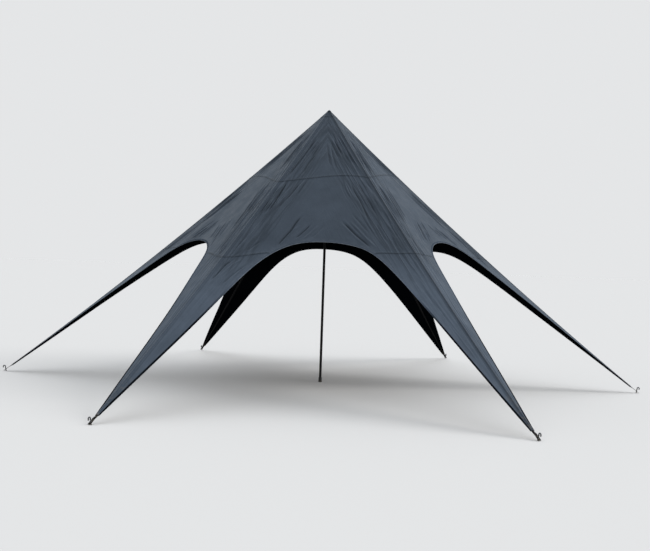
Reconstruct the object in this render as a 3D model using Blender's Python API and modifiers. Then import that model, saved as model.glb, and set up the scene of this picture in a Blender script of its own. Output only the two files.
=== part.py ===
"""Star tent: a six-armed stretched canopy on one centre pole, pegged down at its six tips.

Metres, +Z up. The origin is at ground level on the pole's axis, and the front arch faces -Y.
An azimuth is measured from -Y towards +X, seen from above.
"""
import math

import bmesh
import bpy
import numpy as np
from mathutils import Matrix, Vector

# Driving dimensions of the canopy
HALF_BAY = math.radians(30.0)       # a bay is the 60 degrees between two arms
PEG_RADIUS = 4.00                   # pole axis to the pegs
PEAK_HEIGHT = 3.44                  # where the six ridge lines would meet
STRAP_HEIGHT = 0.030                # height of the strap at its peg
RIDGE_SAG = 0.078                   # how far a ridge hangs under a straight line, at its middle
TIP_RADIUS = 3.93                   # where the fabric of an arm ends
TIP_HALF_WIDTH = 0.022
TIP_DROP = 0.013                    # how far the tip's corners hang under its ridge
ARCH_RADIUS = 1.632                 # pole axis to the middle of an arch
ARCH_HEIGHT = 1.742
ARCH_TOP_REACH = 0.601              # how long the arch's edge keeps level from its middle
ARCH_TIP_REACH = 2.145              # how long the edge keeps the arm's own slope from its tip
ARCH_TIP_SPREAD = 0.173             # the edge's spread at the tip, to 1 along the arm
ARCH_TIP_RISE = 0.741               # the edge's rise at the tip, to 1 along the arm
PEAK_HOLE_RADIUS = 0.030            # hole in the fabric at the peak, under its cap
PEAK_PATCH_RADIUS = 0.120           # out to here the six faces of the peak are flat
CROWN_SEAM_RADIUS = 1.04            # where the crown's seam crosses a ridge
ARM_SEAM_RADIUS = 2.05              # where the seam across an arm's root crosses its ridge
ARM_SEAM_SHARE = 0.40               # where that seam meets the arch's edge, as a share of the edge
SHEET = 0.004                       # thickness of the panels as solids
SEAM_GAP = 0.00025                  # how far each panel stays back from its seam

# Grid of one bay
BAY_COLUMNS = 12                    # columns from ridge to ridge
ARM_COLUMNS = 3                     # columns that run on into each arm
CROWN_ROWS = 7
ROOF_ROWS = 7
ARM_ROWS = 11

# Ridge webbing and anchor strap
WEB_HALF_WIDTH = 0.019
WEB_THICKNESS = 0.0025
WEB_DROP = 0.0010                   # straight down from the fabric to the webbing
WEB_START_RADIUS = 0.050
STRAP_ROWS = (3.95, 3.97, 4.03)     # radii of the strap's rows past the fabric's tip
STRAP_FLATTENING = (0.4, 0.0, 0.0)  # share of the tip's fold that is left in each of those rows

# Pegs
PEG_ROD_RADIUS = 0.006
PEG_EYE_RADIUS = 0.0068
PEG_LEAN = math.radians(12.0)
PEG_STRAIGHT = 0.062                # above ground, to where the hook begins
PEG_BURIED = 0.030                  # made below ground, then cut off flat
PEG_HOOK_RADIUS = 0.013
PEG_HOOK_END = 0.014
PEG_HOOK_STEPS = 6

# Pole
POLE_RADIUS = 0.016
POLE_BORE = 0.0146
SPIGOT_RADIUS = 0.0143
SPIGOT_BORE = 0.0129
SPIGOT_LENGTH = 0.060
SWAGE_LENGTH = 0.006
POLE_JOINTS = (1.16, 2.30)          # heights of the two joints
POLE_TOP = 3.380                    # top of the upper section
POLE_SIDES = 16
FIT_GAP = 0.0003
FOOT_TOP_RADIUS = 0.021
FOOT_BASE_RADIUS = 0.023
FOOT_HEIGHT = 0.060
FOOT_SOLE = 0.012
PLUG_LENGTH = 0.040

# Peak cap
CAP_SKIRT_RADIUS = 0.110
CAP_THICKNESS = 0.002
CAP_TIP_RADIUS = 0.024              # inside radius of its rounded tip
CAP_GAP = 0.0005                    # between the cap and the panels under it

ARMS = (
    ("front_right", 30), ("right", 90), ("back_right", 150),
    ("back_left", 210), ("left", 270), ("front_left", 330),
)
BAYS = (
    ("front", 0), ("right_front", 60), ("right_back", 120),
    ("back", 180), ("left_back", 240), ("left_front", 300),
)


def clear_scene():
    for item in list(bpy.data.objects):
        bpy.data.objects.remove(item, do_unlink=True)


def new_collection(name):
    collection = bpy.data.collections.new(name)
    bpy.context.scene.collection.children.link(collection)
    return collection


def new_material(name, colour, roughness, metallic=0.0):
    material = bpy.data.materials.new(name)
    material.use_nodes = True
    shader = material.node_tree.nodes["Principled BSDF"]
    shader.inputs["Base Color"].default_value = (*colour, 1.0)
    shader.inputs["Roughness"].default_value = roughness
    shader.inputs["Metallic"].default_value = metallic
    material.diffuse_color = (*colour, 1.0)
    return material


def new_object(name, data, material, collection, azimuth=0.0):
    """One node. Its shape is made in the frame of its own bay or arm and turned into place."""
    item = bpy.data.objects.new(name, data)
    collection.objects.link(item)
    item.rotation_euler = (0.0, 0.0, math.radians(azimuth))
    if not data.materials:
        data.materials.append(material)
    return item


# The canopy's lines

def outward(azimuth):
    return np.array((math.sin(azimuth), -math.cos(azimuth)))


def ridge_height(radius):
    share = radius / PEG_RADIUS
    straight = PEAK_HEIGHT + (STRAP_HEIGHT - PEAK_HEIGHT) * share
    return straight - 4.0 * RIDGE_SAG * share * (1.0 - share)


def ridge_point(side, radius):
    return np.array((*(outward(side * HALF_BAY) * radius), ridge_height(radius)))


def arch_edge_point(side, share):
    """A point on the edge of the bay's arch, from its middle (0) to the corner of an arm's tip (1)."""
    along = outward(side * HALF_BAY)
    across = outward(side * HALF_BAY - side * math.pi / 2.0)
    middle = np.array((0.0, -ARCH_RADIUS, ARCH_HEIGHT))
    middle_handle = middle + np.array((side * ARCH_TOP_REACH, 0.0, 0.0))
    tip = np.array((*(along * TIP_RADIUS + across * TIP_HALF_WIDTH), ridge_height(TIP_RADIUS) - TIP_DROP))
    rise = np.array((*(across * ARCH_TIP_SPREAD - along), ARCH_TIP_RISE))
    tip_handle = tip + rise * ARCH_TIP_REACH
    rest = 1.0 - share
    near_middle = rest ** 3 * middle + 3.0 * rest ** 2 * share * middle_handle
    near_tip = 3.0 * rest * share ** 2 * tip_handle + share ** 3 * tip
    return near_middle + near_tip


def arm_row(side, share):
    """Ridge point and edge point of one row of an arm, from the seam at its root (0) to its tip (1)."""
    edge_share = ARM_SEAM_SHARE + (1.0 - ARM_SEAM_SHARE) * share
    edge = arch_edge_point(side, edge_share)
    along = outward(side * HALF_BAY)
    root_lead = ARM_SEAM_RADIUS - arch_edge_point(side, ARM_SEAM_SHARE)[:2] @ along
    radius = edge[:2] @ along + root_lead * (1.0 - share)
    return ridge_point(side, radius), edge


def bay_net():
    """The canopy of one bay, as a grid of points that each lie at the mean of their neighbours.

    Row 0 is the peak and the last row the arms' tips. Column 0 is the left ridge and the last
    column the right one. Below the roof, only the columns of the two arms exist.
    """
    columns = BAY_COLUMNS
    roof_end = CROWN_ROWS + ROOF_ROWS
    rows = roof_end + ARM_ROWS
    points = np.full((rows + 1, columns + 1, 3), np.nan)
    crown_radii = (PEAK_HOLE_RADIUS, *np.linspace(PEAK_PATCH_RADIUS, CROWN_SEAM_RADIUS, CROWN_ROWS))
    roof_radii = np.linspace(CROWN_SEAM_RADIUS, ARM_SEAM_RADIUS, ROOF_ROWS + 1)[1:]
    for row, radius in enumerate((*crown_radii, *roof_radii)):
        points[row, 0] = ridge_point(-1, radius)
        points[row, columns] = ridge_point(1, radius)
    for row in (0, 1):
        for column in range(columns + 1):
            share = column / columns
            points[row, column] = points[row, 0] * (1.0 - share) + points[row, columns] * share
    for column in range(ARM_COLUMNS, columns - ARM_COLUMNS + 1):
        offset = (column - columns / 2) / (columns / 2 - ARM_COLUMNS)
        points[roof_end, column] = arch_edge_point(math.copysign(1.0, offset), abs(offset) * ARM_SEAM_SHARE)
    for row in range(roof_end + 1, rows + 1):
        share = (row - roof_end) / ARM_ROWS
        for side, ridge_column, edge_column in ((-1, 0, ARM_COLUMNS), (1, columns, columns - ARM_COLUMNS)):
            points[row, ridge_column], points[row, edge_column] = arm_row(side, share)
    for ridge_column, edge_column, step in ((0, ARM_COLUMNS, 1), (columns, columns - ARM_COLUMNS, -1)):
        for column in range(ridge_column, edge_column, step):
            share = abs(column - ridge_column) / ARM_COLUMNS
            points[rows, column] = points[rows, ridge_column] * (1.0 - share) + points[rows, edge_column] * share
    fixed = ~np.isnan(points[:, :, 0])
    return relaxed(points, fixed, roof_end)


def relaxed(points, fixed, roof_end):
    """Solve for the points that aren't fixed, each at the mean of its four neighbours."""
    last_row, last_column = fixed.shape[0] - 1, fixed.shape[1] - 1
    free = []
    for row in range(last_row + 1):
        for column in range(last_column + 1):
            in_arm = column < ARM_COLUMNS or column > last_column - ARM_COLUMNS
            if not fixed[row, column] and (row <= roof_end or in_arm):
                free.append((row, column))
    number = {place: index for index, place in enumerate(free)}
    matrix = np.zeros((len(free), len(free)))
    known = np.zeros((len(free), 3))
    for (row, column), index in number.items():
        matrix[index, index] = 4.0
        for near in ((row - 1, column), (row + 1, column), (row, column - 1), (row, column + 1)):
            if near in number:
                matrix[index, number[near]] = -1.0
            else:
                known[index] += points[near]
    for place, point in zip(free, np.linalg.solve(matrix, known)):
        points[place] = point
    return points


# Panels

def pulled_back(points):
    """The same grid with its four borders drawn in a little, so that it clears its neighbours."""
    result = points.copy()
    for axis in (0, 1):
        grid = np.moveaxis(result, axis, 0)
        for border, inner in ((0, 1), (-1, -2)):
            inward = grid[inner] - grid[border]
            grid[border] += inward / np.linalg.norm(inward, axis=1, keepdims=True) * SEAM_GAP
    return result


def grid_mesh(name, points):
    """A grid primitive laid onto rows (top to bottom) and columns (left to right) of points."""
    rows, columns = points.shape[0] - 1, points.shape[1] - 1
    mesh = bpy.data.meshes.new(name)
    shape = bmesh.new()
    bmesh.ops.create_grid(shape, x_segments=columns, y_segments=rows, size=1.0)
    for vertex in shape.verts:
        column = round((vertex.co.x + 1.0) / 2.0 * columns)
        row = round((1.0 - vertex.co.y) / 2.0 * rows)
        vertex.co = points[row, column]
    shape.to_mesh(mesh)
    shape.free()
    mesh.shade_smooth()
    return mesh


def add_thickness(item, thickness, offset):
    solid = item.modifiers.new("thickness", "SOLIDIFY")
    solid.thickness = thickness
    solid.offset = offset
    solid.use_even_offset = True


def build_panels(net, material, collection):
    roof_end = CROWN_ROWS + ROOF_ROWS
    crown = grid_mesh("crown_panel", pulled_back(net[:CROWN_ROWS + 1]))
    roof = grid_mesh("roof_panel", pulled_back(net[CROWN_ROWS:roof_end + 1]))
    left_arm = grid_mesh("left_arm_panel", pulled_back(net[roof_end:, :ARM_COLUMNS + 1]))
    right_arm = grid_mesh("right_arm_panel", pulled_back(net[roof_end:, BAY_COLUMNS - ARM_COLUMNS:]))
    arm_at = {azimuth: name for name, azimuth in ARMS}
    for bay, azimuth in BAYS:
        left_name = arm_at[(azimuth - 30) % 360]
        right_name = arm_at[(azimuth + 30) % 360]
        pieces = (
            (f"crown_panel_{bay}", crown),
            (f"roof_panel_{bay}", roof),
            (f"{left_name}_arm_panel_{bay}_side", left_arm),
            (f"{right_name}_arm_panel_{bay}_side", right_arm),
        )
        for name, mesh in pieces:
            item = new_object(name, mesh, material, collection, azimuth)
            add_thickness(item, SHEET, 1.0)


# Webbing, straps and pegs

def turned(points, angle):
    """Points turned about the pole's axis."""
    cos, sin = math.cos(angle), math.sin(angle)
    turn = np.array(((cos, -sin, 0.0), (sin, cos, 0.0), (0.0, 0.0, 1.0)))
    return points @ turn.T


def webbing_points(net):
    """Rows of three points (left edge, ridge, right edge) along an arm that points to -Y."""
    ridge = turned(net[:, 0], HALF_BAY)
    beside = turned(net[:, 1], HALF_BAY)
    flap = beside - ridge
    flap = flap / np.linalg.norm(flap, axis=1, keepdims=True) * WEB_HALF_WIDTH
    rows = []
    for centre, half in zip(ridge, flap):
        if -centre[1] >= WEB_START_RADIUS:
            rows.append((centre, half))
    tip_half = rows[-1][1]
    flat_half = np.array((WEB_HALF_WIDTH, 0.0, 0.0))
    for radius, fold in zip(STRAP_ROWS, STRAP_FLATTENING):
        half = tip_half * fold + flat_half * (1.0 - fold)
        rows.append((np.array((0.0, -radius, ridge_height(radius))), half))
    mirror = np.array((-1.0, 1.0, 1.0))
    drop = np.array((0.0, 0.0, -WEB_DROP))
    return np.array([(centre + half * mirror, centre, centre + half) for centre, half in rows]) + drop


def finished_mesh(item, name):
    """The evaluated mesh of an object, which is then removed."""
    graph = bpy.context.evaluated_depsgraph_get()
    mesh = bpy.data.meshes.new_from_object(item.evaluated_get(graph))
    mesh.transform(item.matrix_world)
    mesh.name = name
    bpy.data.objects.remove(item, do_unlink=True)
    return mesh


def peg_foot():
    return Vector((0.0, -PEG_RADIUS, 0.0))


def peg_axis():
    return Vector((0.0, -math.sin(PEG_LEAN), math.cos(PEG_LEAN)))


def add_cutter(name, mesh, cutters):
    cutter = bpy.data.objects.new(name, mesh)
    cutter.hide_render = True
    cutter.display_type = "WIRE"
    cutters.objects.link(cutter)
    return cutter


def cut(item, cutter):
    boolean = item.modifiers.new("cut", "BOOLEAN")
    boolean.operation = "DIFFERENCE"
    boolean.solver = "EXACT"
    boolean.object = cutter


def eye_cutter(cutters):
    """A rod along the peg's axis that cuts the eye in the strap."""
    mesh = bpy.data.meshes.new("strap_eye_cutter")
    shape = bmesh.new()
    turn = Vector((0.0, 0.0, 1.0)).rotation_difference(peg_axis()).to_matrix().to_4x4()
    place = Matrix.Translation(peg_foot() + peg_axis() * STRAP_HEIGHT) @ turn
    bmesh.ops.create_cone(
        shape, cap_ends=True, segments=POLE_SIDES, radius1=PEG_EYE_RADIUS, radius2=PEG_EYE_RADIUS,
        depth=4.0 * STRAP_HEIGHT, matrix=place)
    shape.to_mesh(mesh)
    shape.free()
    return add_cutter("strap_eye_cutter", mesh, cutters)


def build_webbings(net, material, collection, cutters):
    strip = bpy.data.objects.new("webbing", grid_mesh("webbing", webbing_points(net)))
    collection.objects.link(strip)
    add_thickness(strip, WEB_THICKNESS, -1.0)
    cut(strip, eye_cutter(cutters))
    bpy.context.view_layer.update()
    mesh = finished_mesh(strip, "ridge_webbing")
    for arm, azimuth in ARMS:
        new_object(f"{arm}_ridge_webbing", mesh, material, collection, azimuth)


def peg_path():
    """The peg's line from below ground, up its shank and round its hook, which opens away from the tent."""
    shank = peg_axis()
    away = Vector((0.0, -math.cos(PEG_LEAN), -math.sin(PEG_LEAN)))
    top = peg_foot() + shank * PEG_STRAIGHT
    centre = top + away * PEG_HOOK_RADIUS
    path = [peg_foot() - shank * PEG_BURIED]
    for step in range(PEG_HOOK_STEPS + 1):
        angle = math.pi * step / PEG_HOOK_STEPS
        path.append(centre - away * PEG_HOOK_RADIUS * math.cos(angle) + shank * PEG_HOOK_RADIUS * math.sin(angle))
    path.append(path[-1] - shank * PEG_HOOK_END)
    return path


def build_pegs(material, collection, cutters):
    curve = bpy.data.curves.new("peg", "CURVE")
    curve.dimensions = "3D"
    curve.bevel_depth = PEG_ROD_RADIUS
    curve.bevel_resolution = 2
    curve.use_fill_caps = True
    path = peg_path()
    spline = curve.splines.new("POLY")
    spline.points.add(len(path) - 1)
    for point, place in zip(spline.points, path):
        point.co = (*place, 1.0)
    wire = bpy.data.objects.new("peg_wire", curve)
    collection.objects.link(wire)
    bpy.context.view_layer.update()
    rod = bpy.data.objects.new("peg_rod", finished_mesh(wire, "peg_rod"))
    collection.objects.link(rod)
    weld = rod.modifiers.new("caps", "WELD")
    weld.merge_threshold = 0.00001
    ground = bpy.data.meshes.new("ground_cutter")
    shape = bmesh.new()
    below = Matrix.Translation(peg_foot() - Vector((0.0, 0.0, PEG_BURIED)))
    bmesh.ops.create_cube(shape, size=2.0 * PEG_BURIED, matrix=below)
    shape.to_mesh(ground)
    shape.free()
    cut(rod, add_cutter("ground_cutter", ground, cutters))
    bpy.context.view_layer.update()
    mesh = finished_mesh(rod, "peg")
    for arm, azimuth in ARMS:
        new_object(f"{arm}_peg", mesh, material, collection, azimuth)


# Pole and peak cap

def turned_piece(name, profile, steps, material, collection, closed=False):
    """A profile of (radius, height) points, down its outer side, turned about the pole's axis."""
    mesh = bpy.data.meshes.new(name)
    shape = bmesh.new()
    corners = [shape.verts.new((radius, 0.0, height)) for radius, height in profile]
    for start, end in zip(corners, corners[1:]):
        shape.edges.new((start, end))
    if closed:
        shape.edges.new((corners[-1], corners[0]))
    shape.to_mesh(mesh)
    shape.free()
    item = new_object(name, mesh, material, collection)
    screw = item.modifiers.new("turn", "SCREW")
    screw.axis = "Z"
    screw.angle = math.tau
    screw.steps = steps
    screw.render_steps = steps
    screw.use_merge_vertices = True
    screw.merge_threshold = 0.0001
    return item


def tube_profile(bottom, top, spigot):
    """A tube's wall from its top down the outside and back up its bore, with or without a spigot."""
    if not spigot:
        return ((POLE_RADIUS, top), (POLE_RADIUS, bottom), (POLE_BORE, bottom), (POLE_BORE, top))
    return (
        (SPIGOT_RADIUS, top + SPIGOT_LENGTH), (SPIGOT_RADIUS, top), (POLE_RADIUS, top), (POLE_RADIUS, bottom),
        (POLE_BORE, bottom), (POLE_BORE, top - 2.0 * SWAGE_LENGTH), (SPIGOT_BORE, top - SWAGE_LENGTH),
        (SPIGOT_BORE, top + SPIGOT_LENGTH),
    )


def arc_points(radius, centre_height, start, end, steps):
    """Points on an arc about the pole's axis, by the angle from straight up."""
    angles = [start + (end - start) * step / steps for step in range(steps + 1)]
    return [(radius * math.sin(angle), centre_height + radius * math.cos(angle)) for angle in angles]


def build_pole(steel, rubber, collection):
    foot = (
        (0.0, FOOT_SOLE), (POLE_RADIUS + FIT_GAP, FOOT_SOLE), (POLE_RADIUS + FIT_GAP, FOOT_HEIGHT),
        (FOOT_TOP_RADIUS, FOOT_HEIGHT), (FOOT_BASE_RADIUS, 0.0), (0.0, 0.0),
    )
    turned_piece("pole_foot", foot, POLE_SIDES, rubber, collection)
    lower_joint, upper_joint = POLE_JOINTS
    sections = (
        ("pole_lower_section", FOOT_SOLE + FIT_GAP, lower_joint, True),
        ("pole_middle_section", lower_joint + FIT_GAP, upper_joint, True),
        ("pole_upper_section", upper_joint + FIT_GAP, POLE_TOP, False),
    )
    for name, bottom, top, spigot in sections:
        turned_piece(name, tube_profile(bottom, top, spigot), POLE_SIDES, steel, collection, closed=True)
    dome_centre = cap_tip_centre() + CAP_TIP_RADIUS - FIT_GAP - POLE_RADIUS
    plug_radius = POLE_BORE - FIT_GAP
    plug = [
        *arc_points(POLE_RADIUS, dome_centre, 0.0, math.pi / 2.0, 6), (POLE_RADIUS, POLE_TOP + FIT_GAP),
        (plug_radius, POLE_TOP + FIT_GAP), (plug_radius, POLE_TOP - PLUG_LENGTH), (0.0, POLE_TOP - PLUG_LENGTH),
    ]
    turned_piece("pole_cap", plug, POLE_SIDES, rubber, collection)


def peak_slope():
    """Fall of a ridge for each metre out, at the peak."""
    return (PEAK_HEIGHT - STRAP_HEIGHT + 4.0 * RIDGE_SAG) / PEG_RADIUS


def cap_lift(distance):
    """How far up a six-sided cone goes when its faces move out by a distance."""
    face_slope = peak_slope() / math.cos(HALF_BAY)
    return distance * math.hypot(1.0, face_slope)


def cap_tip_centre():
    """Centre of the cap's rounded tip, so that its inside meets the cone under it smoothly."""
    inner_apex = PEAK_HEIGHT + cap_lift(SHEET + CAP_GAP)
    return inner_apex - CAP_TIP_RADIUS * math.hypot(1.0, peak_slope())


def build_peak_cap(material, collection):
    """A six-sided cap over the hole where the crown panels meet, with a rounded tip on the pole."""
    centre = cap_tip_centre()
    tangent = math.atan(peak_slope())
    inner_skirt = ridge_height(CAP_SKIRT_RADIUS) + cap_lift(SHEET + CAP_GAP)
    outer_skirt = inner_skirt + cap_lift(CAP_THICKNESS)
    outer = arc_points(CAP_TIP_RADIUS + CAP_THICKNESS, centre, 0.0, tangent, 4)
    inner = arc_points(CAP_TIP_RADIUS, centre, tangent, 0.0, 4)
    profile = [*outer, (CAP_SKIRT_RADIUS, outer_skirt), (CAP_SKIRT_RADIUS, inner_skirt), *inner]
    turned_piece("peak_cap", profile, len(ARMS), material, collection)


def build():
    clear_scene()
    parts = new_collection("star_tent")
    cutters = new_collection("cutters")
    fabric = new_material("slate_polyester", (0.055, 0.062, 0.075), 0.75)
    cap_fabric = new_material("coated_cap_fabric", (0.035, 0.038, 0.045), 0.6)
    web = new_material("black_webbing", (0.018, 0.019, 0.021), 0.85)
    black_steel = new_material("black_painted_steel", (0.012, 0.012, 0.013), 0.42, 0.3)
    rubber = new_material("black_rubber", (0.015, 0.015, 0.015), 0.8)
    peg_steel = new_material("zinc_plated_steel", (0.42, 0.42, 0.41), 0.4, 1.0)
    net = bay_net()
    build_pole(black_steel, rubber, parts)
    build_peak_cap(cap_fabric, parts)
    build_panels(net, fabric, parts)
    build_webbings(net, web, parts, cutters)
    build_pegs(peg_steel, parts, cutters)
    bpy.context.view_layer.update()


build()
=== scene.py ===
"""Looks of the star tent: fabric, hems, webbing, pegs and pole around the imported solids.

Metres, +Z up, in the solids' own frame: the pole stands on the origin and the front arch faces -Y.
An azimuth is measured from -Y towards +X, seen from above. A bay or an arm is made facing -Y and
turned to its azimuth.
"""

import math

import bpy
import numpy as np
from mathutils import Matrix, Vector


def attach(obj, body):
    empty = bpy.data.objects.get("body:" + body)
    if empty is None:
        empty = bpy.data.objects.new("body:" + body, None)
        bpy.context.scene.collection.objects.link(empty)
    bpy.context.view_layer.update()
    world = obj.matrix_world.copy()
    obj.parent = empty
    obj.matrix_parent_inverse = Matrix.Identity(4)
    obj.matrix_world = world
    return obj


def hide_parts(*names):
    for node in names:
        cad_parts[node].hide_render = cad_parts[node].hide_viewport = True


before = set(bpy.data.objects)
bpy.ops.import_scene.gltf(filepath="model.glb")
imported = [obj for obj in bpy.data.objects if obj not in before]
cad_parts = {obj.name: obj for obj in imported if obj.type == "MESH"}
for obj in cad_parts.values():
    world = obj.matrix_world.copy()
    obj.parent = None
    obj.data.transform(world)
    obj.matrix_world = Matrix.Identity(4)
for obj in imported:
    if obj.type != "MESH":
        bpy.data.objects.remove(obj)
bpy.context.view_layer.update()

# Camera, from the perspective of the photo
IMAGE_WIDTH = 650.0  # pixels
FOCAL_PIXELS = 925.4
SENSOR_WIDTH = 36.0  # millimetres
CAMERA_PLACE = (0.134, -11.722, 1.548)
CAMERA_YAW = math.radians(0.571)
CAMERA_PITCH = math.radians(-0.957)
CAMERA_ROLL = math.radians(1.942)

# Lines of the canopy, as in the solids
HALF_BAY = math.radians(30.0)
PEG_RADIUS = 4.00
PEAK_HEIGHT = 3.44
STRAP_HEIGHT = 0.030
RIDGE_SAG = 0.078
TIP_RADIUS = 3.93
TIP_HALF_WIDTH = 0.022
TIP_DROP = 0.013
ARCH_RADIUS = 1.632
ARCH_HEIGHT = 1.742
ARCH_TOP_REACH = 0.601
ARCH_TIP_REACH = 2.145
ARCH_TIP_SPREAD = 0.173
ARCH_TIP_RISE = 0.741
PEAK_HOLE_RADIUS = 0.030
PEAK_PATCH_RADIUS = 0.120
CROWN_SEAM_RADIUS = 1.04
ARM_SEAM_RADIUS = 2.05
ARM_SEAM_SHARE = 0.40

# A place on a bay is (row, column): rows run down from the peak, columns from the left ridge to the right
COLUMNS = 12
ARM_COLUMNS = 3  # columns that run on into each arm
CROWN_END = 7  # row of the seam round the crown
ROOF_END = 14  # row of the arch's edge and of the arms' root seams
ARM_END = 25  # row of the arms' tips
FINE = 12  # fine grid lines to a row or a column
ARM_LINE = ARM_COLUMNS * FINE  # fine column of an arm's arch edge
ROOF_LINE = ROOF_END * FINE  # fine row of the arch's edge
FINE_LEVELS = (3, 6, FINE)
CROWN_CELLS = (13, 12)  # a crown panel's own grid lines to a row and to a column
ROOF_CELLS = (16, 20)
ARM_CELLS = (10, 14)
FIRST_SWEEPS = 900
LATER_SWEEPS = 120
SWEEP_SPAN = 9  # rows that a change has to cross, which sets how far each sweep overshoots

# Rows by which a seam crosses a ridge lower than the net's own row, from the photo
CROWN_SEAM_SHIFT = {"front_left": 0.40, "front_right": -0.30, "left": -0.45, "right": -0.90}
ARM_SEAM_SHIFT = {"front_left": 1.20, "front_right": -0.35}
ARM_SEAM_HANG = 0.34  # rows by which the arms' root seams hang lower halfway
CLOSE_STEPS = (-0.15, -0.105, -0.07, -0.045, -0.02, 0.02, 0.045, 0.07, 0.105, 0.15)
CLOSEST = 0.013  # least part of a row or column between two lines of a panel's grid
SEAM_REACH = 3.0  # rows over which the panels' own rows give way to a shifted seam

# How the hang of each arch in the photo departs from the regular one: millimetres outwards and upwards at
# places along its edge, from the left arm's tip (-1) to the right arm's (1)
EASE_PLACES = (-0.8, -0.6, -0.4, -0.2, 0.0, 0.2, 0.4, 0.6, 0.8)
EASE_WIDTH = 0.19
ARCH_EASE = {
    "front": ((0, 2, 0, 0, 0, 0, 0, 0, 0), (-34, 12, -14, -10, 7, -11, 13, 11, 8)),
    "right_front": ((-5, 2, -14, -18, -24, -18, -2, -1, 4), (-17, -4, -6, 13, 43, 23, 13, 3, 8)),
    "right_back": ((-2, -1, 0, -1, -1, 0, 0, 2, 9), (-12, -10, -15, -22, -21, -13, -3, 6, 16)),
    "back": ((0, 0, 0, 0, 0, 0, 0, 0, 0), (-1, -22, -35, -38, -19, -25, -19, 12, -15)),
    "left_back": ((-21, -3, 1, 1, 0, 2, 4, -1, 3), (-38, -14, -4, -4, -7, -2, 11, 5, 18)),
    "left_front": ((5, 1, 3, -10, 5, 47, 33, 25, -8), (14, 10, 17, 1, -4, -33, -25, 0, -11)),
}
EASE_FROM_ROW = 8.0
EASE_CLEAR = 0.022  # the cloth over the ridge webbing stays where it is
EASE_BEND = 1.5  # how the shift sets in beyond it

# Fabric
FABRIC = 0.0008  # thickness
FABRIC_LIFT = 0.0010  # from the canopy's line up to the fabric's outer side
LAP = 0.07  # rows by which a panel laps over the one below it
LAP_LIFT = 0.0010
LAP_RISE = 0.03  # rows over which the lap rises
BAND_HALF_WIDTH = 0.019  # ridge webbing that shows through the fabric
BAND_LIFT = 0.0012
BAND_EDGE = 0.004
BAND_GROOVE = 0.0021  # the fabric's dip beside the webbing
BAND_GROOVE_AT = 0.029
BAND_GROOVE_WIDTH = 0.009
RIDGE_SHADE = 0.42  # how dark the sewn ridge line is painted, its thread and painted shade, to 1 for the cloth
PULL_LINES = (  # distance from the ridge, half width and height of each line of pull
    (0.052, 0.010, 0.0030), (0.078, 0.009, -0.0020), (0.105, 0.011, 0.0026), (0.150, 0.012, -0.0018),
)
PULL_WAVES = (5.3, 2.9, 1.7)  # rows over which they come and go
PULL_MEAN = 0.45  # their strength: its mean, the swing of each wave and the most
PULL_SWING = 0.33
PULL_MOST = 1.2
PULL_FADE = 0.65  # how much they fade down the arms, over these rows
PULL_FADE_ROWS = (13.5, 17.0)
SEAM_HALF_WIDTH = 0.008  # flat-felled seams
SEAM_LIFT = 0.0007
SEAM_EDGE = 0.003
HEM_WIDTH = 0.022
HEM_LIFT = 0.0013  # how far the hem stands off each side of the fabric
HEM_EDGE = 0.0006  # the drop of its turned-in edge
HEM_SHARE = 0.45  # most of an arm panel's width that it takes
HEM_EDGE_FROM = 0.97  # share of its width from which its edge drops
HEM_ROLL = 0.10  # how far its fold stands out, to 1 for its width
HEM_ROLL_POINTS = 7
HEM_RIM = (0.018, 0.022)  # distance from its fold to its dark rim, painted shade of the curled edge in the black coating's colour, which shows down the arms
HEM_RIM_HEIGHTS = (0.85, 1.35)

ARMS = (
    ("front_right", 30), ("right", 90), ("back_right", 150),
    ("back_left", 210), ("left", 270), ("front_left", 330),
)
BAYS = (
    ("front", 0), ("right_front", 60), ("right_back", 120),
    ("back", 180), ("left_back", 240), ("left_front", 300),
)

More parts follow.
